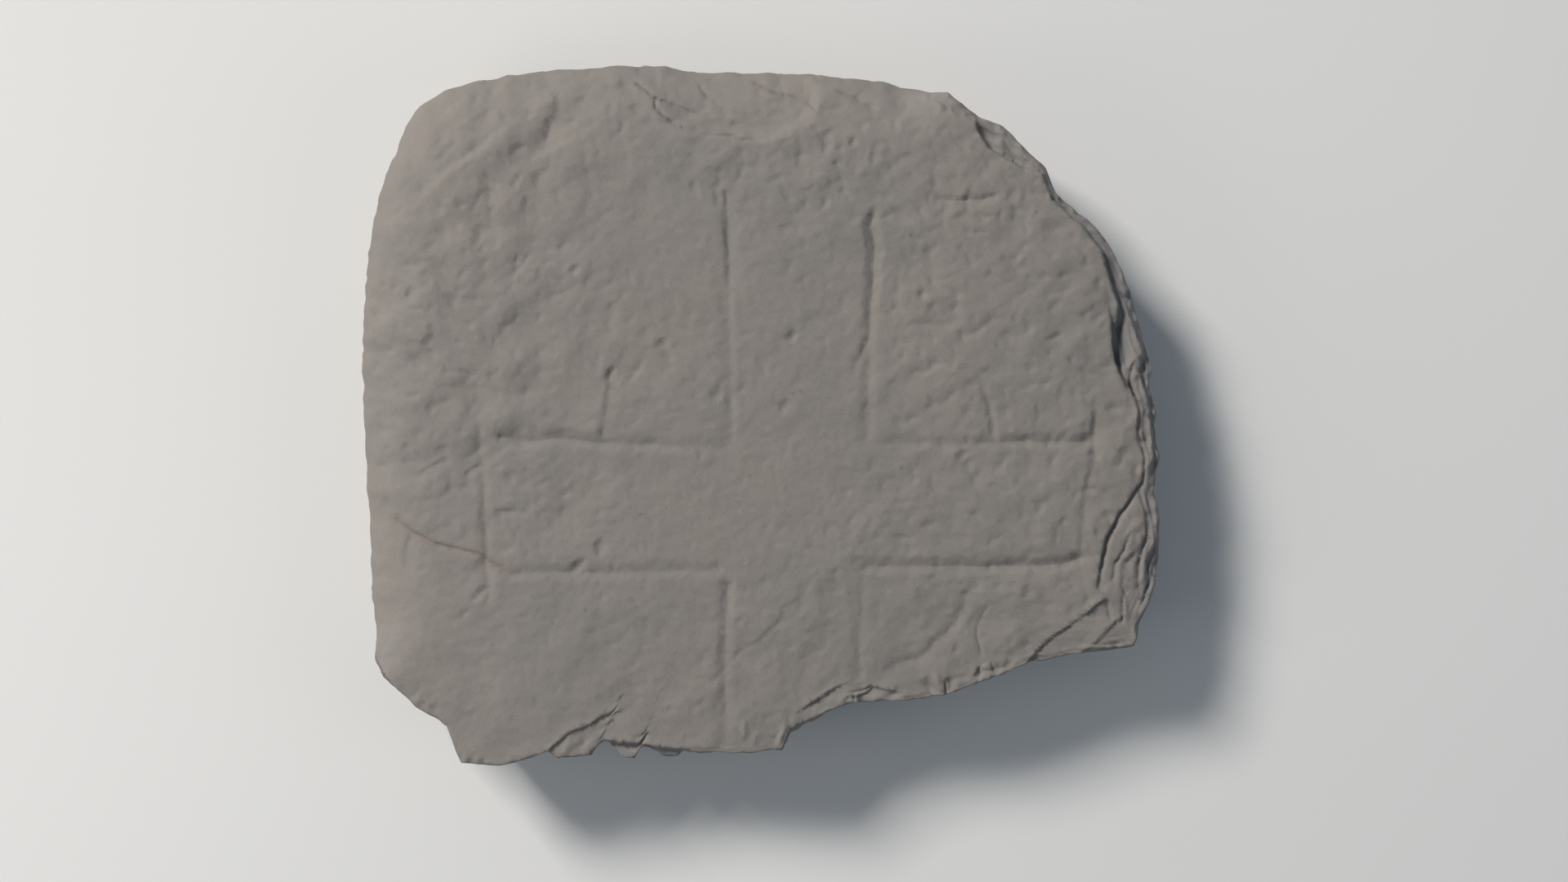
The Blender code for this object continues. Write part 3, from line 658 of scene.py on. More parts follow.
@dataclass
class Outline:
    """The slab's outline, as a distance from its middle for every angle."""

    plan: Plan
    chips: Unevenness = Unevenness(0.011, 1.0, 0.37)
    step: float = 0.0012
    even_corners: int = 72

    WORN_EDGE = path(-959, -693, -973, -505, -984, -270, -994, -81, -998, 178, -992, 366, -975, 531, -949,
                     660, -916, 754, -883, 849, -825, 907, -747, 947, -636, 973, -472, 992, -267, 1002,
                     -143, 985, 62, 983, 226, 966, 350, 943, 424, 921)
    BROKEN_SIDE = path(467, 913, 545, 847, 607, 818, 657, 761, 711, 700, 736, 629, 810, 558, 868, 487, 909,
                       387, 950, 250, 977, 132, 971, 65, 988, 13, 981, -34, 994, -129, 979, -223, 996, -294,
                       994, -413, 979, -507, 944, -602, 930, -666)
    BROKEN_FOOT = path(749, -690, 668, -708, 579, -752, 462, -801, 345, -817, 224, -824, 143, -861, 76,
                       -896, 56, -956, -59, -968, -140, -961, -188, -958, -203, -975, -245, -968, -255,
                       -954, -295, -944, -308, -977, -342, -979, -358, -949, -380, -933, -396, -933, -416,
                       -972, -463, -975, -501, -982, -528, -961, -584, -986, -643, -1000, -742, -995, -760,
                       -928, -774, -889, -855, -829, -915, -766)

    @cached_property
    def points(self) -> Array:
        """Points all round the outline: curved where it is worn, straight runs where it is broken."""
        corners = (self.WORN_EDGE[-1], *self.BROKEN_SIDE, *self.BROKEN_FOOT, self.WORN_EDGE[0])
        broken = self.plan.metres(corners)
        return np.vstack((self.rounded(self.plan.metres(self.WORN_EDGE)), self.straight(broken)[1:-1]))

    @cached_property
    def corners(self) -> Array:
        """The angles at which the even outline has its corners."""
        return np.linspace(-math.pi, math.pi, self.even_corners + 1)

    @cached_property
    def even(self) -> Array:
        """The even outline's distances from the middle."""
        return self.radius(self.corners)

    @staticmethod
    def rounded(points: Array, steps: int = 8) -> Array:
        """A smooth line through the points."""
        ends = np.vstack((points[0], points, points[-1]))
        share = np.linspace(0.0, 1.0, steps, endpoint=False)[:, None]
        runs = []
        for before, start, end, after in zip(ends, ends[1:], ends[2:], ends[3:]):
            bend = 2 * before - 5 * start + 4 * end - after
            twist = 3 * (start - end) + after - before
            runs.append(start + 0.5 * share * (end - before + share * (bend + share * twist)))
        return np.vstack((*runs, points[-1]))

    @staticmethod
    def straight(points: Array, steps: int = 8) -> Array:
        """The points joined by straight runs, with steps along each."""
        share = np.linspace(0.0, 1.0, steps, endpoint=False)[:, None]
        runs = [start + share * (end - start) for start, end in zip(points, points[1:])]
        return np.vstack((*runs, points[-1]))

    def radius(self, angle: Array) -> Array:
        """The rim's distance from the middle, with small chips all round."""
        turns = np.arctan2(self.points[:, 1], self.points[:, 0])
        reach = np.interp(angle, turns, np.hypot(*self.points.T), period=math.tau)
        chips = self.chips.at(reach * np.cos(angle), reach * np.sin(angle))
        return reach + chips * rim_value(angle, "jag")

    def even_radius(self, angle: Array) -> Array:
        """The same distance without the small steps, for the mesh inside the rim."""
        return np.interp(angle, self.corners, self.even)

    def distance_inside(self, x: Array, y: Array) -> Array:
        """How far points inside the slab are from its rim, in metres."""
        count = round(math.tau * self.plan.width / 2 / self.step)
        angles = np.linspace(-math.pi, math.pi, count, endpoint=False)
        reach = self.radius(angles)
        tree = KDTree(count)
        spots = zip((reach * np.cos(angles)).tolist(), (reach * np.sin(angles)).tolist())
        for index, (a, b) in enumerate(spots):
            tree.insert((a, b, 0.0), index)
        tree.balance()
        return np.array([tree.find((a, b, 0.0))[2] for a, b in zip(x.tolist(), y.tolist())])


@dataclass
class SlabForm:
    """The slab's surface: the carved face, the sides and the underside."""

    plan: Plan
    carving: CrossCarving = field(default_factory=CrossCarving)
    damage: Damage = field(default_factory=Damage)
    dents: Dents = field(default_factory=Dents)
    weathering: Weathering = field(default_factory=Weathering)
    dome: float = 0.007
    swell: Unevenness = Unevenness(0.085, 0.0016, 2.6)
    worn_reach: float = 0.066
    worn_drop: float = 0.038
    chipped_reach: float = 0.008
    wobble_x: Unevenness = Unevenness(0.022, 0.0012, 4.2)
    wobble_y: Unevenness = Unevenness(0.022, 0.0012, 6.8)
    tremor_x: Unevenness = Unevenness(0.006, 0.0006, 31.2)
    tremor_y: Unevenness = Unevenness(0.006, 0.0006, 33.8)
    splinters: Unevenness = Unevenness(0.0085, 0.0036, 27.5)
    streaks: Unevenness = Unevenness(0.0045, 0.0050, 29.1)
    streak_stretch: float = 0.16
    foot_rise: float = 0.005
    foot_reach: float = 0.014
    foot_bumps: Unevenness = Unevenness(0.033, 0.6, 7.7)
    layer_thickness: float = 0.015
    layer_run: float = 0.060
    layer_tilt: Unevenness = Unevenness(0.060, 0.0075, 5.3)
    sheet_thickness: float = 0.0042
    sheet_run: float = 0.024
    grit: Unevenness = Unevenness(0.0055, 1.0, 41.3)
    back_hollows: Unevenness = Unevenness(0.045, 0.0022, 36.4)
    back_grain: Unevenness = Unevenness(0.008, 0.0007, 38.9)
    steps_from: float = 0.7
    slack: float = 0.00002

    @cached_property
    def outline(self) -> Outline:
        """The slab's outline."""
        return Outline(self.plan)

    def bent(self, x: Array, y: Array) -> tuple[Array, Array]:
        """Places shifted a little, so that every line on the face wavers as one cut by hand."""
        return (x + self.wobble_x.at(x, y) + self.tremor_x.at(x, y),
                y + self.wobble_y.at(x, y) + self.tremor_y.at(x, y))

    def sunk(self, x: Array, y: Array) -> Array:
        """How deep the cut lines, cracks and pits are at each place, in metres."""
        marks = (*self.carving.cuts, self.damage.left_crack, *self.damage.cracks, *self.dents.all)
        return sum(mark.depth_at(x, y, self.plan) for mark in marks)

    def face(self, x: Array, y: Array, share: Array, from_rim: Array) -> Array:
        """The carved face.

        Args:
            x: Places along X, in metres.
            y: Places along Y, in metres.
            share: How far each place is from the middle to the rim, from 0 to 1.
            from_rim: How far each place is from the rim, in metres.

        Returns:
            Heights over the underside, in metres.
        """
        angle = np.arctan2(y, x)
        worn = stretch_weights(angle)[Stretch.HEAD]
        height = self.plan.thickness - self.dome * share**3 + self.swell.at(x, y)
        roundness = np.clip(1.0 - from_rim / self.worn_reach, 0.0, 1.0)
        height -= worn * self.worn_drop * (1.0 - np.sqrt(1.0 - roundness**2))
        height -= rim_value(angle, "chip") * slope(from_rim / self.chipped_reach)
        bent_x, bent_y = self.bent(x, y)
        lowered = sum(bed.depth_at(bent_x, bent_y, self.plan) for bed in self.damage.beds)
        height -= lowered + self.sunk(bent_x, bent_y)
        broken = self.broken_share(bent_x, bent_y, angle, from_rim)
        crest = 0.4
        ridges = self.splinters.lift * crest - np.abs(self.splinters.at(x, y))
        along_rim = angle * self.plan.width / 2 * self.streak_stretch
        ridges += self.streaks.lift * crest - np.abs(self.streaks.at(along_rim, from_rim))
        return height + (1.0 - broken) * self.weathering.relief(x, y, self.plan) + broken * ridges

    def broken_share(self, x: Array, y: Array, angle: Array, from_rim: Array) -> Array:
        """How far each place on the face is freshly broken stone, from 0 to 1."""
        layered = sum(layer.depth_at(x, y, self.plan) for layer in self.damage.layers) / self.damage.bed_drop
        layer_share, layer_rise, rim_start, rim_run = 0.6, 1.5, 1.4, 0.007
        near_rim = rim_value(angle, "splinter") * ease(rim_start - from_rim / rim_run)
        return np.clip(layer_share * ease(layered * layer_rise) + near_rim, 0.0, 1.0)

    def side_inset(self, angle: Array, down: Array, rim: Array, height: Array) -> Array:
        """How far the side stands back from the rim.

        Args:
            angle: Turns from +X, in radians.
            down: The share of the side's height already gone down.
            rim: The rim's distance from the middle, in metres.
            height: Heights over the underside, in metres.

        Returns:
            Distances inwards of the rim, in metres.
        """
        turn = rim_value(angle, "turn")
        setback, retreat_depth, level, level_step = 0.3, 0.33, 9.1, 1.7
        sheet_level = level * 7
        above = rim_value(angle, "brink") * slope(down / turn)
        below = rim_value(angle, "foot_inset") * np.clip((down - turn) / (1.0 - turn), 0.0, 1.0) ** 2
        steps = np.clip(rim - self.outline.even_radius(angle), 0.0, None)
        retreat = rim_value(angle, "retreat") * steps * ease(down / retreat_depth)
        x = rim * np.cos(angle)
        y = rim * np.sin(angle)
        tilted = height + self.layer_tilt.at(x, y)
        ledges = self.layered(x, y, tilted, self.layer_thickness, self.layer_run, level, level_step) + setback
        sheets = self.layered(x, y, tilted, self.sheet_thickness, self.sheet_run, sheet_level, level_step)
        relief = rim_value(angle, "ledge") * ledges + rim_value(angle, "sheet") * sheets
        relief += rim_value(angle, "grit") * self.grit.at(x, y, height)
        return above + below + retreat + relief * ease(down / turn)

    @staticmethod
    def layered(x: Array, y: Array, height: Array, thickness: float, run: float, level: float,
                step: float) -> Array:
        """An unevenness that is the same through each layer and changes at once at the next.

        Args:
            x: Places along X, in metres.
            y: Places along Y, in metres.
            height: Heights over the underside, in metres.
            thickness: The layers' thickness, in metres.
            run: How far the unevenness runs along a layer, in metres.
            level: The level of the random field that the lowest layer is read from.
            step: The change of level from one layer to the next.

        Returns:
            Numbers from about -1 to 1.
        """
        layer = np.floor(height / thickness)
        found = np.zeros(x.shape)
        for number in np.unique(layer):
            held = layer == number
            found[held] = Unevenness(run, 1.0, level + step * number).at(x[held], y[held])
        return found

    def inner_radius(self, share: Array, edge: Array, even: Array) -> Array:
        """Distance from the middle at a share of the way to the edge, whose small steps fade inwards."""
        return share * even + ease((share - self.steps_from) / (1.0 - self.steps_from)) * (edge - even)

    def shaped(self, block: Array) -> Array:
        """Moves a block's corners to the slab's surface.

        Args:
            block: Corners of a block that runs from -1 to 1 each way.

        Returns:
            The corners in metres, from the slab's middle and underside, within the slab's size.
        """
        s, t, level = np.clip(block, -1.0, 1.0).T
        angle = np.arctan2(t * self.plan.length, s * self.plan.width)
        share = np.maximum(np.abs(s), np.abs(t))
        at_rim = np.isclose(share, 1.0)
        on_top = np.isclose(level, 1.0)
        below = np.isclose(level, -1.0)
        down = (1.0 - level) / 2.0
        rim = self.outline.radius(angle)
        even = self.outline.even_radius(angle)

        radius = self.inner_radius(share, rim - rim_value(angle, "brink"), even)
        x = radius * np.cos(angle)
        y = radius * np.sin(angle)
        top_x, top_y = x[on_top], y[on_top]
        height = self.face(top_x, top_y, share[on_top], self.outline.distance_inside(top_x, top_y))
        z = np.zeros(len(s))
        z[on_top] = height + self.plan.thickness - height.max()

        outer = ~on_top & at_rim
        top_rim = on_top & at_rim
        brink = np.interp(angle[outer], angle[top_rim], z[top_rim], period=math.tau)
        foot = self.foot_rise * (1.0 + self.foot_bumps.at(x, y))
        side_height = brink + (foot[outer] - brink) * down[outer]
        side_radius = rim.copy()
        side_radius[outer] -= self.side_inset(angle[outer], down[outer], rim[outer], side_height)
        z[outer] = side_height
        radius[outer] = side_radius[outer]

        inner = below & ~at_rim
        low_rim = below & at_rim
        foot_edge = np.interp(angle[inner], angle[low_rim], side_radius[low_rim], period=math.tau)
        radius[inner] = self.inner_radius(share[inner], foot_edge, even[inner])
        x = radius * np.cos(angle)
        y = radius * np.sin(angle)
        lifted = foot[inner] * slope((1.0 - share[inner]) * rim[inner] / self.foot_reach)
        hollows = np.clip(self.back_hollows.at(x[inner], y[inner]), 0.0, None)
        z[inner] = lifted + hollows + np.clip(self.back_grain.at(x[inner], y[inner]), 0.0, None)
        return self.fitted(np.column_stack((x, y, z)))

    def fitted(self, points: Array) -> Array:
        """The points set within the slab's own size, with the middle over the origin."""
        low = points.min(axis=0)
        high = points.max(axis=0)
        size = np.array((self.plan.width, self.plan.length, self.plan.thickness)) - self.slack
        return (points - foot_middle(low, high)) * size / (high - low)


@dataclass
class SlabMesh:
    """The mesh that the slab's surface is worked on."""

    form: SlabForm
    cell: float = 0.0013
    rings: int = 50
    triangles: int = 194_000
    fold: float = 0.6
    fold_rounds: int = 12
    fold_share: float = 0.5
    face_from: Rise = (0.45, 0.20)
    broken_from: Rise = (0.009, 0.012)
    # Depths at which cracks and pits start to take the near-black painted shade.
    crack_shade_depths: Rise = (0.0021, 0.0016)
    pit_shade_depths: Rise = (0.0042, 0.0020)
    rust_width: float = 0.0035

    def gridded_block(self) -> bpy.types.Mesh:
        """A closed block, gridded on top and below, with rings of faces round its sides."""
        across = round(self.form.plan.width / self.cell)
        along = round(self.form.plan.length / self.cell)
        bm = bmesh.new()
        raised = Matrix.Translation((0.0, 0.0, 1.0))
        sunk = Matrix.Translation((0.0, 0.0, -1.0))
        bmesh.ops.create_grid(bm, x_segments=across, y_segments=along, size=1.0, matrix=raised)
        edges = [edge for edge in bm.edges if edge.is_boundary]
        for _ in range(self.rings):
            ring = bmesh.ops.extrude_edge_only(bm, edges=edges)["geom"]
            corners = [item for item in ring if isinstance(item, bmesh.types.BMVert)]
            bmesh.ops.translate(bm, verts=corners, vec=(0.0, 0.0, -2.0 / self.rings))
            edges = [item for item in ring if isinstance(item, bmesh.types.BMEdge) and item.is_boundary]
        bmesh.ops.create_grid(bm, x_segments=across, y_segments=along, size=1.0, matrix=sunk)
        bmesh.ops.remove_doubles(bm, verts=bm.verts, dist=0.5 / max(across, along))
        bmesh.ops.recalc_face_normals(bm, faces=bm.faces)
        mesh = bpy.data.meshes.new("carved_stone")
        bm.to_mesh(mesh)
        bm.free()
        return mesh

    def build(self, name: str) -> bpy.types.Object:
        """Shapes the block and keeps the triangles that carry the relief.

        Args:
            name: The piece's name.

        Returns:
            The slab, with the marks that its finish is read from.
        """
        block = self.gridded_block()
        shaped = self.form.shaped(self.read(block))
        block.vertices.foreach_set("co", shaped.astype(np.float32).ravel())
        block.update()
        slab = bpy.data.objects.new(name, block)
        bpy.context.scene.collection.objects.link(slab)
        keep = slab.modifiers.new("keep the relief", "DECIMATE")
        keep.ratio = self.triangles / sum(len(face.vertices) - 2 for face in block.polygons)
        settled = bpy.data.meshes.new_from_object(slab.evaluated_get(bpy.context.evaluated_depsgraph_get()))
        slab.modifiers.clear()
        slab.data = settled
        bpy.data.meshes.remove(block)
        settled.name = name
        self.unfold(settled)
        fitted = self.form.fitted(self.read(settled))
        settled.vertices.foreach_set("co", fitted.astype(np.float32).ravel())
        settled.update()
        self.mark(settled)
        settled.shade_smooth()
        return slab

    def unfold(self, mesh: bpy.types.Mesh) -> None:
        """Evens out the few corners where a kept triangle stands up or has turned over."""
        bm = bmesh.new()
        bm.from_mesh(mesh)
        for _ in range(self.fold_rounds):
            bm.normal_update()
            folded = [corner for corner in bm.verts
                      if any(face.normal.dot(corner.normal) < self.fold for face in corner.link_faces)]
            bmesh.ops.smooth_vert(bm, verts=folded, factor=self.fold_share,
                                  use_axis_x=True, use_axis_y=True, use_axis_z=True)
        log.info("carved_stone: %d folded corners left", len(folded))
        bm.to_mesh(mesh)
        bm.free()

    @staticmethod
    def read(mesh: bpy.types.Mesh) -> Array:
        """A mesh's corners, one to a row."""
        corners = np.empty(len(mesh.vertices) * 3, dtype=np.float32)
        mesh.vertices.foreach_get("co", corners)
        return corners.reshape(-1, 3).astype(float)

    def mark(self, mesh: bpy.types.Mesh) -> None:
        """Writes on the mesh where it is sunk, cracked open and deep, broken and stained: the sunk and deep
        marks carry painted shade, the broken one a painted cool shade and layer bands.
        """
        form = self.form
        x, y, z = self.read(mesh).T
        bent_x, bent_y = form.bent(x, y)
        face_up = rise(z / form.plan.thickness, *self.face_from)
        sunk = form.sunk(bent_x, bent_y)
        cracked = sum(crack.depth_at(bent_x, bent_y, form.plan) for crack in form.damage.cracks)
        worn = stretch_weights(np.arctan2(y, x))[Stretch.HEAD]
        below_face = rise(form.plan.thickness - z, *self.broken_from)
        crack = form.damage.left_crack
        offset, _, _ = to_line(bent_x, bent_y, form.plan.metres(crack.places))
        marks = {
            # sunk: the cut lines and pits by their depth, which the finish darkens with painted shade.
            "sunk": np.clip(sunk / form.carving.groove_depth, 0.0, 1.0) * face_up,
            # deep: deep cracks and pits, which the finish paints near black as shade.
            "deep": np.maximum(rise(cracked, *self.crack_shade_depths), rise(sunk, *self.pit_shade_depths)) * face_up,
            # broken: the sides off the face away from the head, which take a painted cool shade and layer
            # bands.
            "broken": (1.0 - worn) * below_face,
            "rust": bell(offset, self.rust_width) * face_up,
        }
        for name, values in marks.items():
            mesh.attributes.new(name, "FLOAT", "POINT").data.foreach_set("value", values.astype(np.float32))


class Graph:
    """The nodes of one material, added as expressions are worked out."""

    def __init__(self, name: str) -> None:
        """Starts an empty material.

        Args:
            name: The material's name.
        """
        self.material = bpy.data.materials.new(name)
        self.material.use_nodes = True
        self.tree = self.material.node_tree
        self.tree.nodes.clear()

    def node(self, kind: str, settings: dict | None = None, **inputs: object) -> bpy.types.Node:
        """Adds a node.

        Args:
            kind: The node's type.
            settings: Its settings, such as an operation or a ramp's stops, which are set first.
            inputs: Values or links by the socket's name, with _ for a space.

        Returns:
            The node.
        """
        made = self.tree.nodes.new(kind)
        for name, value in (settings or {}).items():
            if name == "stops":
                self.set_stops(made.color_ramp.elements, value)
            else:
                setattr(made, name, value)
        for name, value in inputs.items():
            self.feed(made.inputs[name.replace("_", " ")], value)
        return made

    @staticmethod
    def set_stops(elements: bpy.types.ColorRampElements, stops: Sequence[tuple[float, float]]) -> None:
        """Sets a ramp's stops, each a place and a grey."""
        while len(elements) < len(stops):
            elements.new(0.5)
        for element, (place, grey) in zip(elements, stops):
            element.position = place
            element.color = (grey, grey, grey, 1.0)

    def feed(self, socket: bpy.types.NodeSocket, value: object) -> None:
        """Links a wrapped socket, or sets a plain value."""
        if isinstance(value, Wire):
            self.tree.links.new(value.socket, socket)
        else:
            socket.default_value = value

    def number(self, node: bpy.types.Node, output: str | int = 0) -> Number:
        """A node's output as a number."""
        return Number(self, node.outputs[output])

    def triple(self, node: bpy.types.Node, output: str | int = 0) -> Triple:
        """A node's output as a colour or a vector."""
        return Triple(self, node.outputs[output])

    def mark(self, name: str) -> Number:
        """A mark written on the mesh."""
        return self.number(self.node("ShaderNodeAttribute", {"attribute_name": name}), "Fac")

    def clouds(self, where: Triple, scale: float, detail: float = 3.0, roughness: float = 0.55) -> Number:
        """Cloudy noise from 0 to 1."""
        return self.number(self.node("ShaderNodeTexNoise", Vector=where, Scale=scale, Detail=detail,
                                     Roughness=roughness), "Fac")

    def ramp(self, value: Number, *stops: tuple[float, float]) -> Number:
        """A number read through a ramp of stops, each a place and a grey."""
        return self.number(self.node("ShaderNodeValToRGB", {"stops": stops}, Fac=value), "Color")

    def mixed(self, first: object, second: object, share: object) -> Triple:
        """One colour mixed with another by a share."""
        made = self.node("ShaderNodeMix", {"data_type": "RGBA", "blend_type": "MIX"})
        # Its sockets for colours have the names of those for numbers, so they are found by their place.
        share_in, first_in, second_in, colour_out = 0, 6, 7, 2
        for index, value in ((share_in, share), (first_in, first), (second_in, second)):
            self.feed(made.inputs[index], value)
        return self.triple(made, colour_out)


class Wire:
    """A node's output socket, used in expressions."""

    def __init__(self, graph: Graph, socket: bpy.types.NodeSocket) -> None:
        """Wraps an output socket of the material."""
        self.graph = graph
        self.socket = socket


class Number(Wire):
    """A single number that varies over the surface."""

    def math(self, operation: str, first: object, second: object) -> Number:
        """Adds a Math node."""
        made = self.graph.node("ShaderNodeMath", {"operation": operation})
        self.graph.feed(made.inputs[0], first)
        self.graph.feed(made.inputs[1], second)
        return self.graph.number(made)

    def __add__(self, other: object) -> Number:
        """The sum."""
        return self.math("ADD", self, other)

    __radd__ = __add__

    def __sub__(self, other: object) -> Number:
        """This less the other."""
        return self.math("SUBTRACT", self, other)

    def __rsub__(self, other: object) -> Number:
        """The other less this."""
        return self.math("SUBTRACT", other, self)

    def __mul__(self, other: object) -> Number:
        """The product."""
        return self.math("MULTIPLY", self, other)

    __rmul__ = __mul__

    def clipped(self) -> Number:
        """This kept between 0 and 1."""
        return self.math("MAXIMUM", self.math("MINIMUM", self, 1.0), 0.0)


class Triple(Wire):
    """A colour or a vector that varies over the surface."""

    def vector(self, operation: str, other: object) -> Triple:
        """Adds a Vector Math node."""
        made = self.graph.node("ShaderNodeVectorMath", {"operation": operation})
        self.graph.feed(made.inputs[0], self)
        self.graph.feed(made.inputs[1], other)
        return self.graph.triple(made)

    def __mul__(self, other: object) -> Triple:
        """The product, part by part."""
        return self.vector("MULTIPLY", other)

    def towards(self, colour: object, share: object) -> Triple:
        """This colour mixed with another by a share."""
        return self.graph.mixed(self, colour, share)


Colour = tuple[float, float, float, float]
Stops = tuple[tuple[float, float], ...]


@dataclass(frozen=True)
class StoneFinish:
    """Dry, weathered grey stone with fine grain, with painted shade in its cut lines, cracks and pits and a
    painted cool shade on its broken sides.

    The scales are cells a metre, and the stops say how much of a colour a pattern brings.
    """

    warm: Colour = (0.248, 0.223, 0.200, 1.0)
    cool: Colour = (0.231, 0.212, 0.194, 1.0)
    pale: Colour = (0.290, 0.266, 0.243, 1.0)
    # The dark colour serves the grain and the layer bands, and also the painted shade in the sunk lines.
    dark: Colour = (0.150, 0.136, 0.124, 1.0)
    # Painted shade for the deep cracks and pits.
    painted_crack_shade: Colour = (0.050, 0.052, 0.056, 1.0)
    # Painted cool shade for the broken sides, which face away from the key light.
    painted_side_shade: Colour = (0.236, 0.236, 0.238, 1.0)
    rust: Colour = (0.200, 0.140, 0.108, 1.0)
    mottle_scale: float = 9.0
    blotch_scale: float = 42.0
    bump_scale: float = 160.0
    grain_scale: float = 420.0
    grit_scale: float = 1500.0
    layer_scales: tuple[float, float, float] = (6.0, 6.0, 170.0)
    mottle_stops: Stops = ((0.38, 0.0), (0.62, 1.0))
    blotch_stops: Stops = ((0.50, 0.0), (0.80, 0.30))
    layer_stops: Stops = ((0.32, 0.6), (0.48, 0.0))
    grain_stops: Stops = ((0.30, 0.22), (0.46, 0.0))
    grit_stops: Stops = ((0.60, 0.0), (0.78, 0.25))
    painted_side_shade_share: float = 0.7
    painted_groove_shade_share: float = 0.08
    painted_crack_shade_share: float = 0.6
    rust_share: float = 0.8
    rust_loss: float = 0.15
    grain_relief: float = 0.6
    grit_relief: float = 0.25
    bump_relief: float = 0.6
    relief_depth: float = 0.0003
    rough: float = 0.92
    rough_spread: float = 0.12
    shine: float = 0.3

    def material(self) -> bpy.types.Material:
        """Builds the material.

        Returns:
            The stone, read from places on the object and the marks on its mesh.
        """
        graph = Graph("weathered_stone")
        where = graph.triple(graph.node("ShaderNodeTexCoord"), "Object")
        mottle = graph.clouds(where, self.mottle_scale, 4.0)
        blotch = graph.clouds(where, self.blotch_scale, 4.0, 0.6)
        grain = graph.clouds(where, self.grain_scale, 3.0, 0.6)
        grit = graph.clouds(where, self.grit_scale, 2.0, 0.6)
        layers = graph.clouds(where * self.layer_scales, 1.0, 3.0, 0.6)
        sunk, deep, broken, rust = (graph.mark(name) for name in ("sunk", "deep", "broken", "rust"))

        body = graph.mixed(self.warm, self.cool, graph.ramp(mottle, *self.mottle_stops))
        body = body.towards(self.pale, graph.ramp(blotch, *self.blotch_stops))
        # Painted shade: the broken sides turn cool grey, as if lit only by the cool air; the layer bands
        # below are the stone's own.
        body = body.towards(self.painted_side_shade, broken * self.painted_side_shade_share)
        body = body.towards(self.dark, broken * graph.ramp(layers, *self.layer_stops))
        body = body.towards(self.dark, graph.ramp(grain, *self.grain_stops))
        body = body.towards(self.pale, graph.ramp(grit, *self.grit_stops))
        # Painted shade: the sunk lines and hollows darker by how deep they are.
        body = body.towards(self.dark, sunk * self.painted_groove_shade_share)
        # Painted shade: deep cracks and pits turn near black.
        body = body.towards(self.painted_crack_shade, deep * self.painted_crack_shade_share)
        body = body.towards(self.rust, (rust * (blotch * self.rust_share - self.rust_loss)).clipped())

        relief = grain * self.grain_relief + grit * self.grit_relief
        relief += graph.clouds(where, self.bump_scale) * self.bump_relief
        bump = graph.node("ShaderNodeBump", Strength=1.0, Distance=self.relief_depth, Height=relief)
        shader = graph.node("ShaderNodeBsdfPrincipled", Base_Color=body, Normal=graph.triple(bump),
                            Roughness=self.rough + (grain - 0.5) * self.rough_spread,
                            Specular_IOR_Level=self.shine)
        graph.node("ShaderNodeOutputMaterial", Surface=graph.triple(shader))
        return graph.material


@dataclass(frozen=True)
class FloorFinish:
    """Pale matt floor."""

    light: Colour = (0.76, 0.75, 0.73, 1.0)
    shade: Colour = (0.73, 0.72, 0.70, 1.0)
    rough: float = 0.85

    def material(self) -> bpy.types.Material:
        """Builds the material."""
        graph = Graph("pale_floor")
        where = graph.triple(graph.node("ShaderNodeTexCoord"), "Object")
        tint = graph.mixed(self.light, self.shade, graph.clouds(where, 1.6, 2.0))
        shader = graph.node("ShaderNodeBsdfPrincipled", Base_Color=tint, Roughness=self.rough)
        graph.node("ShaderNodeOutputMaterial", Surface=graph.triple(shader))
        return graph.material


@dataclass
class CrossSlab:
    """The slab itself, which stands in for the plain solid."""

    node: str = SLAB_NODE
    finish: StoneFinish = StoneFinish()

    def build(self) -> bpy.types.Object:
        """Builds the slab within the plain solid's box.

        Returns:
            The dressed slab, riding on the object's one body.
        """
        low, high = (np.array(corner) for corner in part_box(self.node))
        plan = Plan(*(high - low))
        slab = SlabMesh(SlabForm(plan)).build("carved_stone")
        slab.data.transform(Matrix.Translation(Vector(foot_middle(low, high))))
        slab.data.materials.clear()
        slab.data.materials.append(self.finish.material())
        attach(slab, "root")
        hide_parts(self.node)
        log.info("carved_stone: %d faces", len(slab.data.polygons))
        return slab


@dataclass(frozen=True)
class SoftLight:
    """A square soft light that points at the slab."""

    name: str
    place: tuple[float, float, float]
    side: float
    power: float
    colour: tuple[float, float, float]

    def build(self, target: Vector) -> bpy.types.Object:
        """Adds the light.

        Args:
            target: The point that it faces, in metres.

        Returns:
            The light.
        """
        data = bpy.data.lights.new(self.name, "AREA")
        data.shape = "SQUARE"
        data.size = self.side
        data.energy = self.power
        data.color = self.colour
        light = bpy.data.objects.new(self.name, data)
        light.location = Vector(self.place) + target
        light.visible_camera = False
        light.rotation_euler = (-Vector(self.place)).to_track_quat("-Z", "Y").to_euler()
        bpy.context.scene.collection.objects.link(light)
        return light


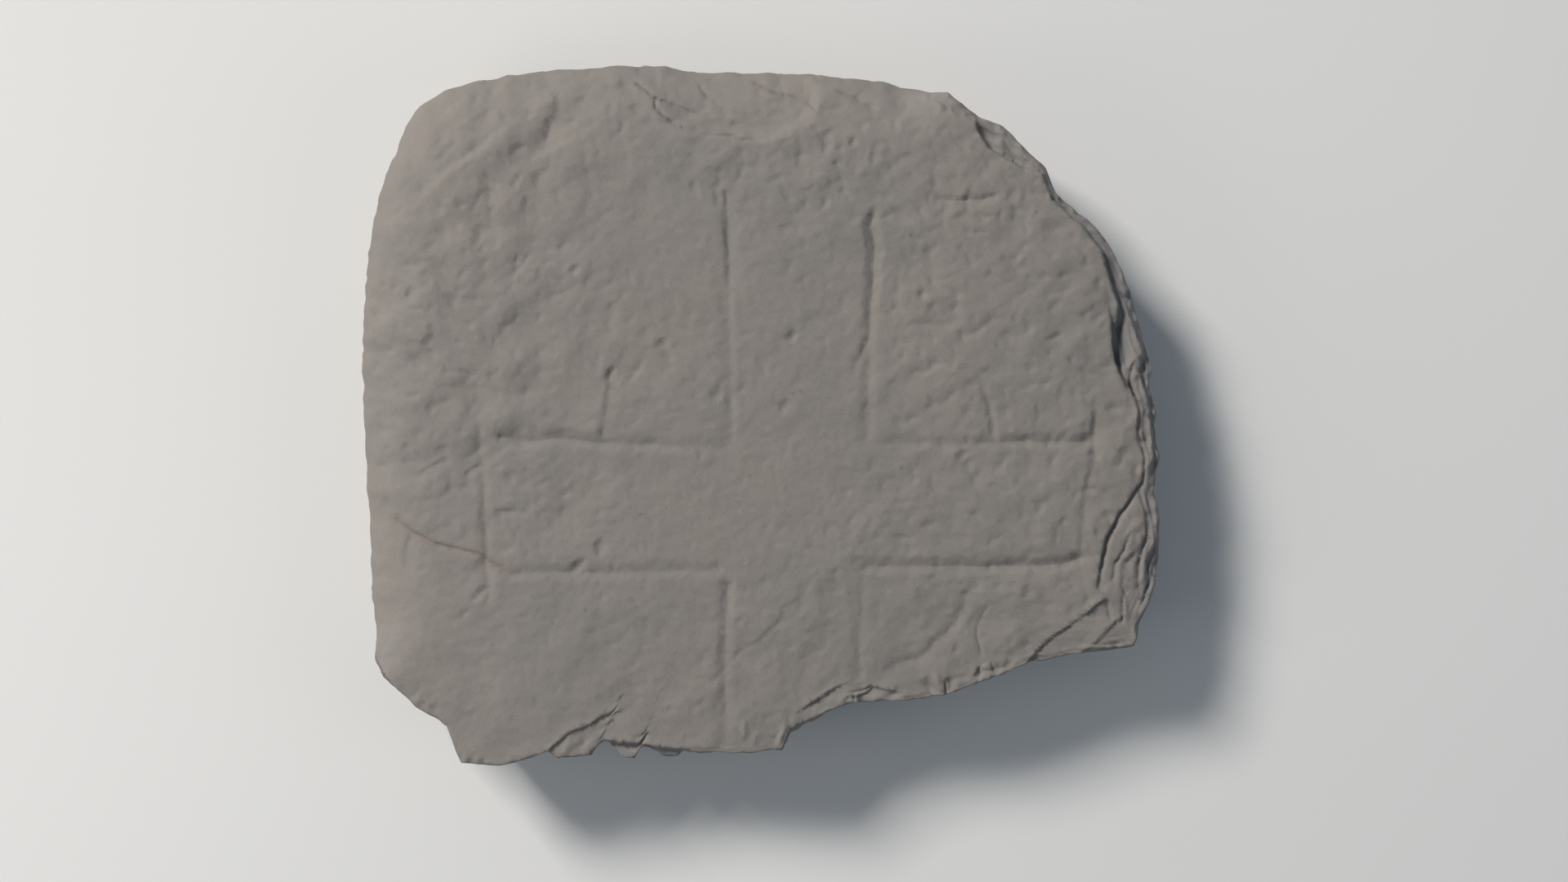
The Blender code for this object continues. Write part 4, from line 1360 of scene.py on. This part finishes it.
@dataclass
class Studio:
    """The pale floor, the soft lights and the camera over the lying slab."""

    floor_side: float = 7.0
    floor_cells: int = 8
    camera_height: float = 2.08
    camera_offset: tuple[float, float] = (0.0201, -0.0230)
    lens: float = 60.0
    sensor: float = 36.0
    view_end: float = 50.0
    air: Colour = (0.72, 0.85, 1.0, 1.0)
    air_strength: float = 0.20
    lights: tuple[SoftLight, ...] = (
        SoftLight("key_light", (-4.5, 4.2, 5.1), 2.2, 655.0, (1.0, 0.969, 0.932)),
        SoftLight("fill_light", (-1.3, -0.5, 0.9), 0.8, 3.4, (1.0, 0.97, 0.94)),
        SoftLight("side_light", (3.6, -1.0, 2.4), 2.2, 14.0, (0.80, 0.90, 1.0)),
    )

    def build(self) -> None:
        """Adds the floor, the lights and the camera."""
        low, high = (Vector(corner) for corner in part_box(SLAB_NODE))
        face = Vector(((low.x + high.x) / 2, (low.y + high.y) / 2, high.z))
        self.floor(low.z)
        for light in self.lights:
            light.build(face)
        self.daylight()
        self.camera(face)

    def floor(self, height: float) -> None:
        """Lays the floor under the slab."""
        bm = bmesh.new()
        bmesh.ops.create_grid(bm, x_segments=self.floor_cells, y_segments=self.floor_cells,
                              size=self.floor_side / 2)
        mesh = bpy.data.meshes.new("floor")
        bm.to_mesh(mesh)
        bm.free()
        floor = bpy.data.objects.new("floor", mesh)
        floor.location.z = height
        mesh.materials.append(FloorFinish().material())
        bpy.context.scene.collection.objects.link(floor)

    def daylight(self) -> None:
        """Fills the air with weak even light."""
        world = bpy.data.worlds.new("soft_air")
        world.use_nodes = True
        background = world.node_tree.nodes["Background"]
        background.inputs["Color"].default_value = self.air
        background.inputs["Strength"].default_value = self.air_strength
        bpy.context.scene.world = world

    def camera(self, face: Vector) -> None:
        """Hangs the camera over the face, looking straight down."""
        data = bpy.data.cameras.new("camera")
        data.lens = self.lens
        data.sensor_width = self.sensor
        data.clip_end = self.view_end
        camera = bpy.data.objects.new("camera", data)
        camera.location = face + Vector((*self.camera_offset, self.camera_height))
        bpy.context.scene.collection.objects.link(camera)
        bpy.context.scene.camera = camera


def main() -> None:
    """Builds the slab, then the studio round it."""
    logging.basicConfig(level=logging.INFO, format="%(name)s: %(message)s")
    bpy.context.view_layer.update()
    CrossSlab().build()
    Studio().build()
    bpy.context.scene.view_settings.view_transform = "Standard"
    log.info("studio: floor, lights and camera")


if __name__ == "__main__":
    main()
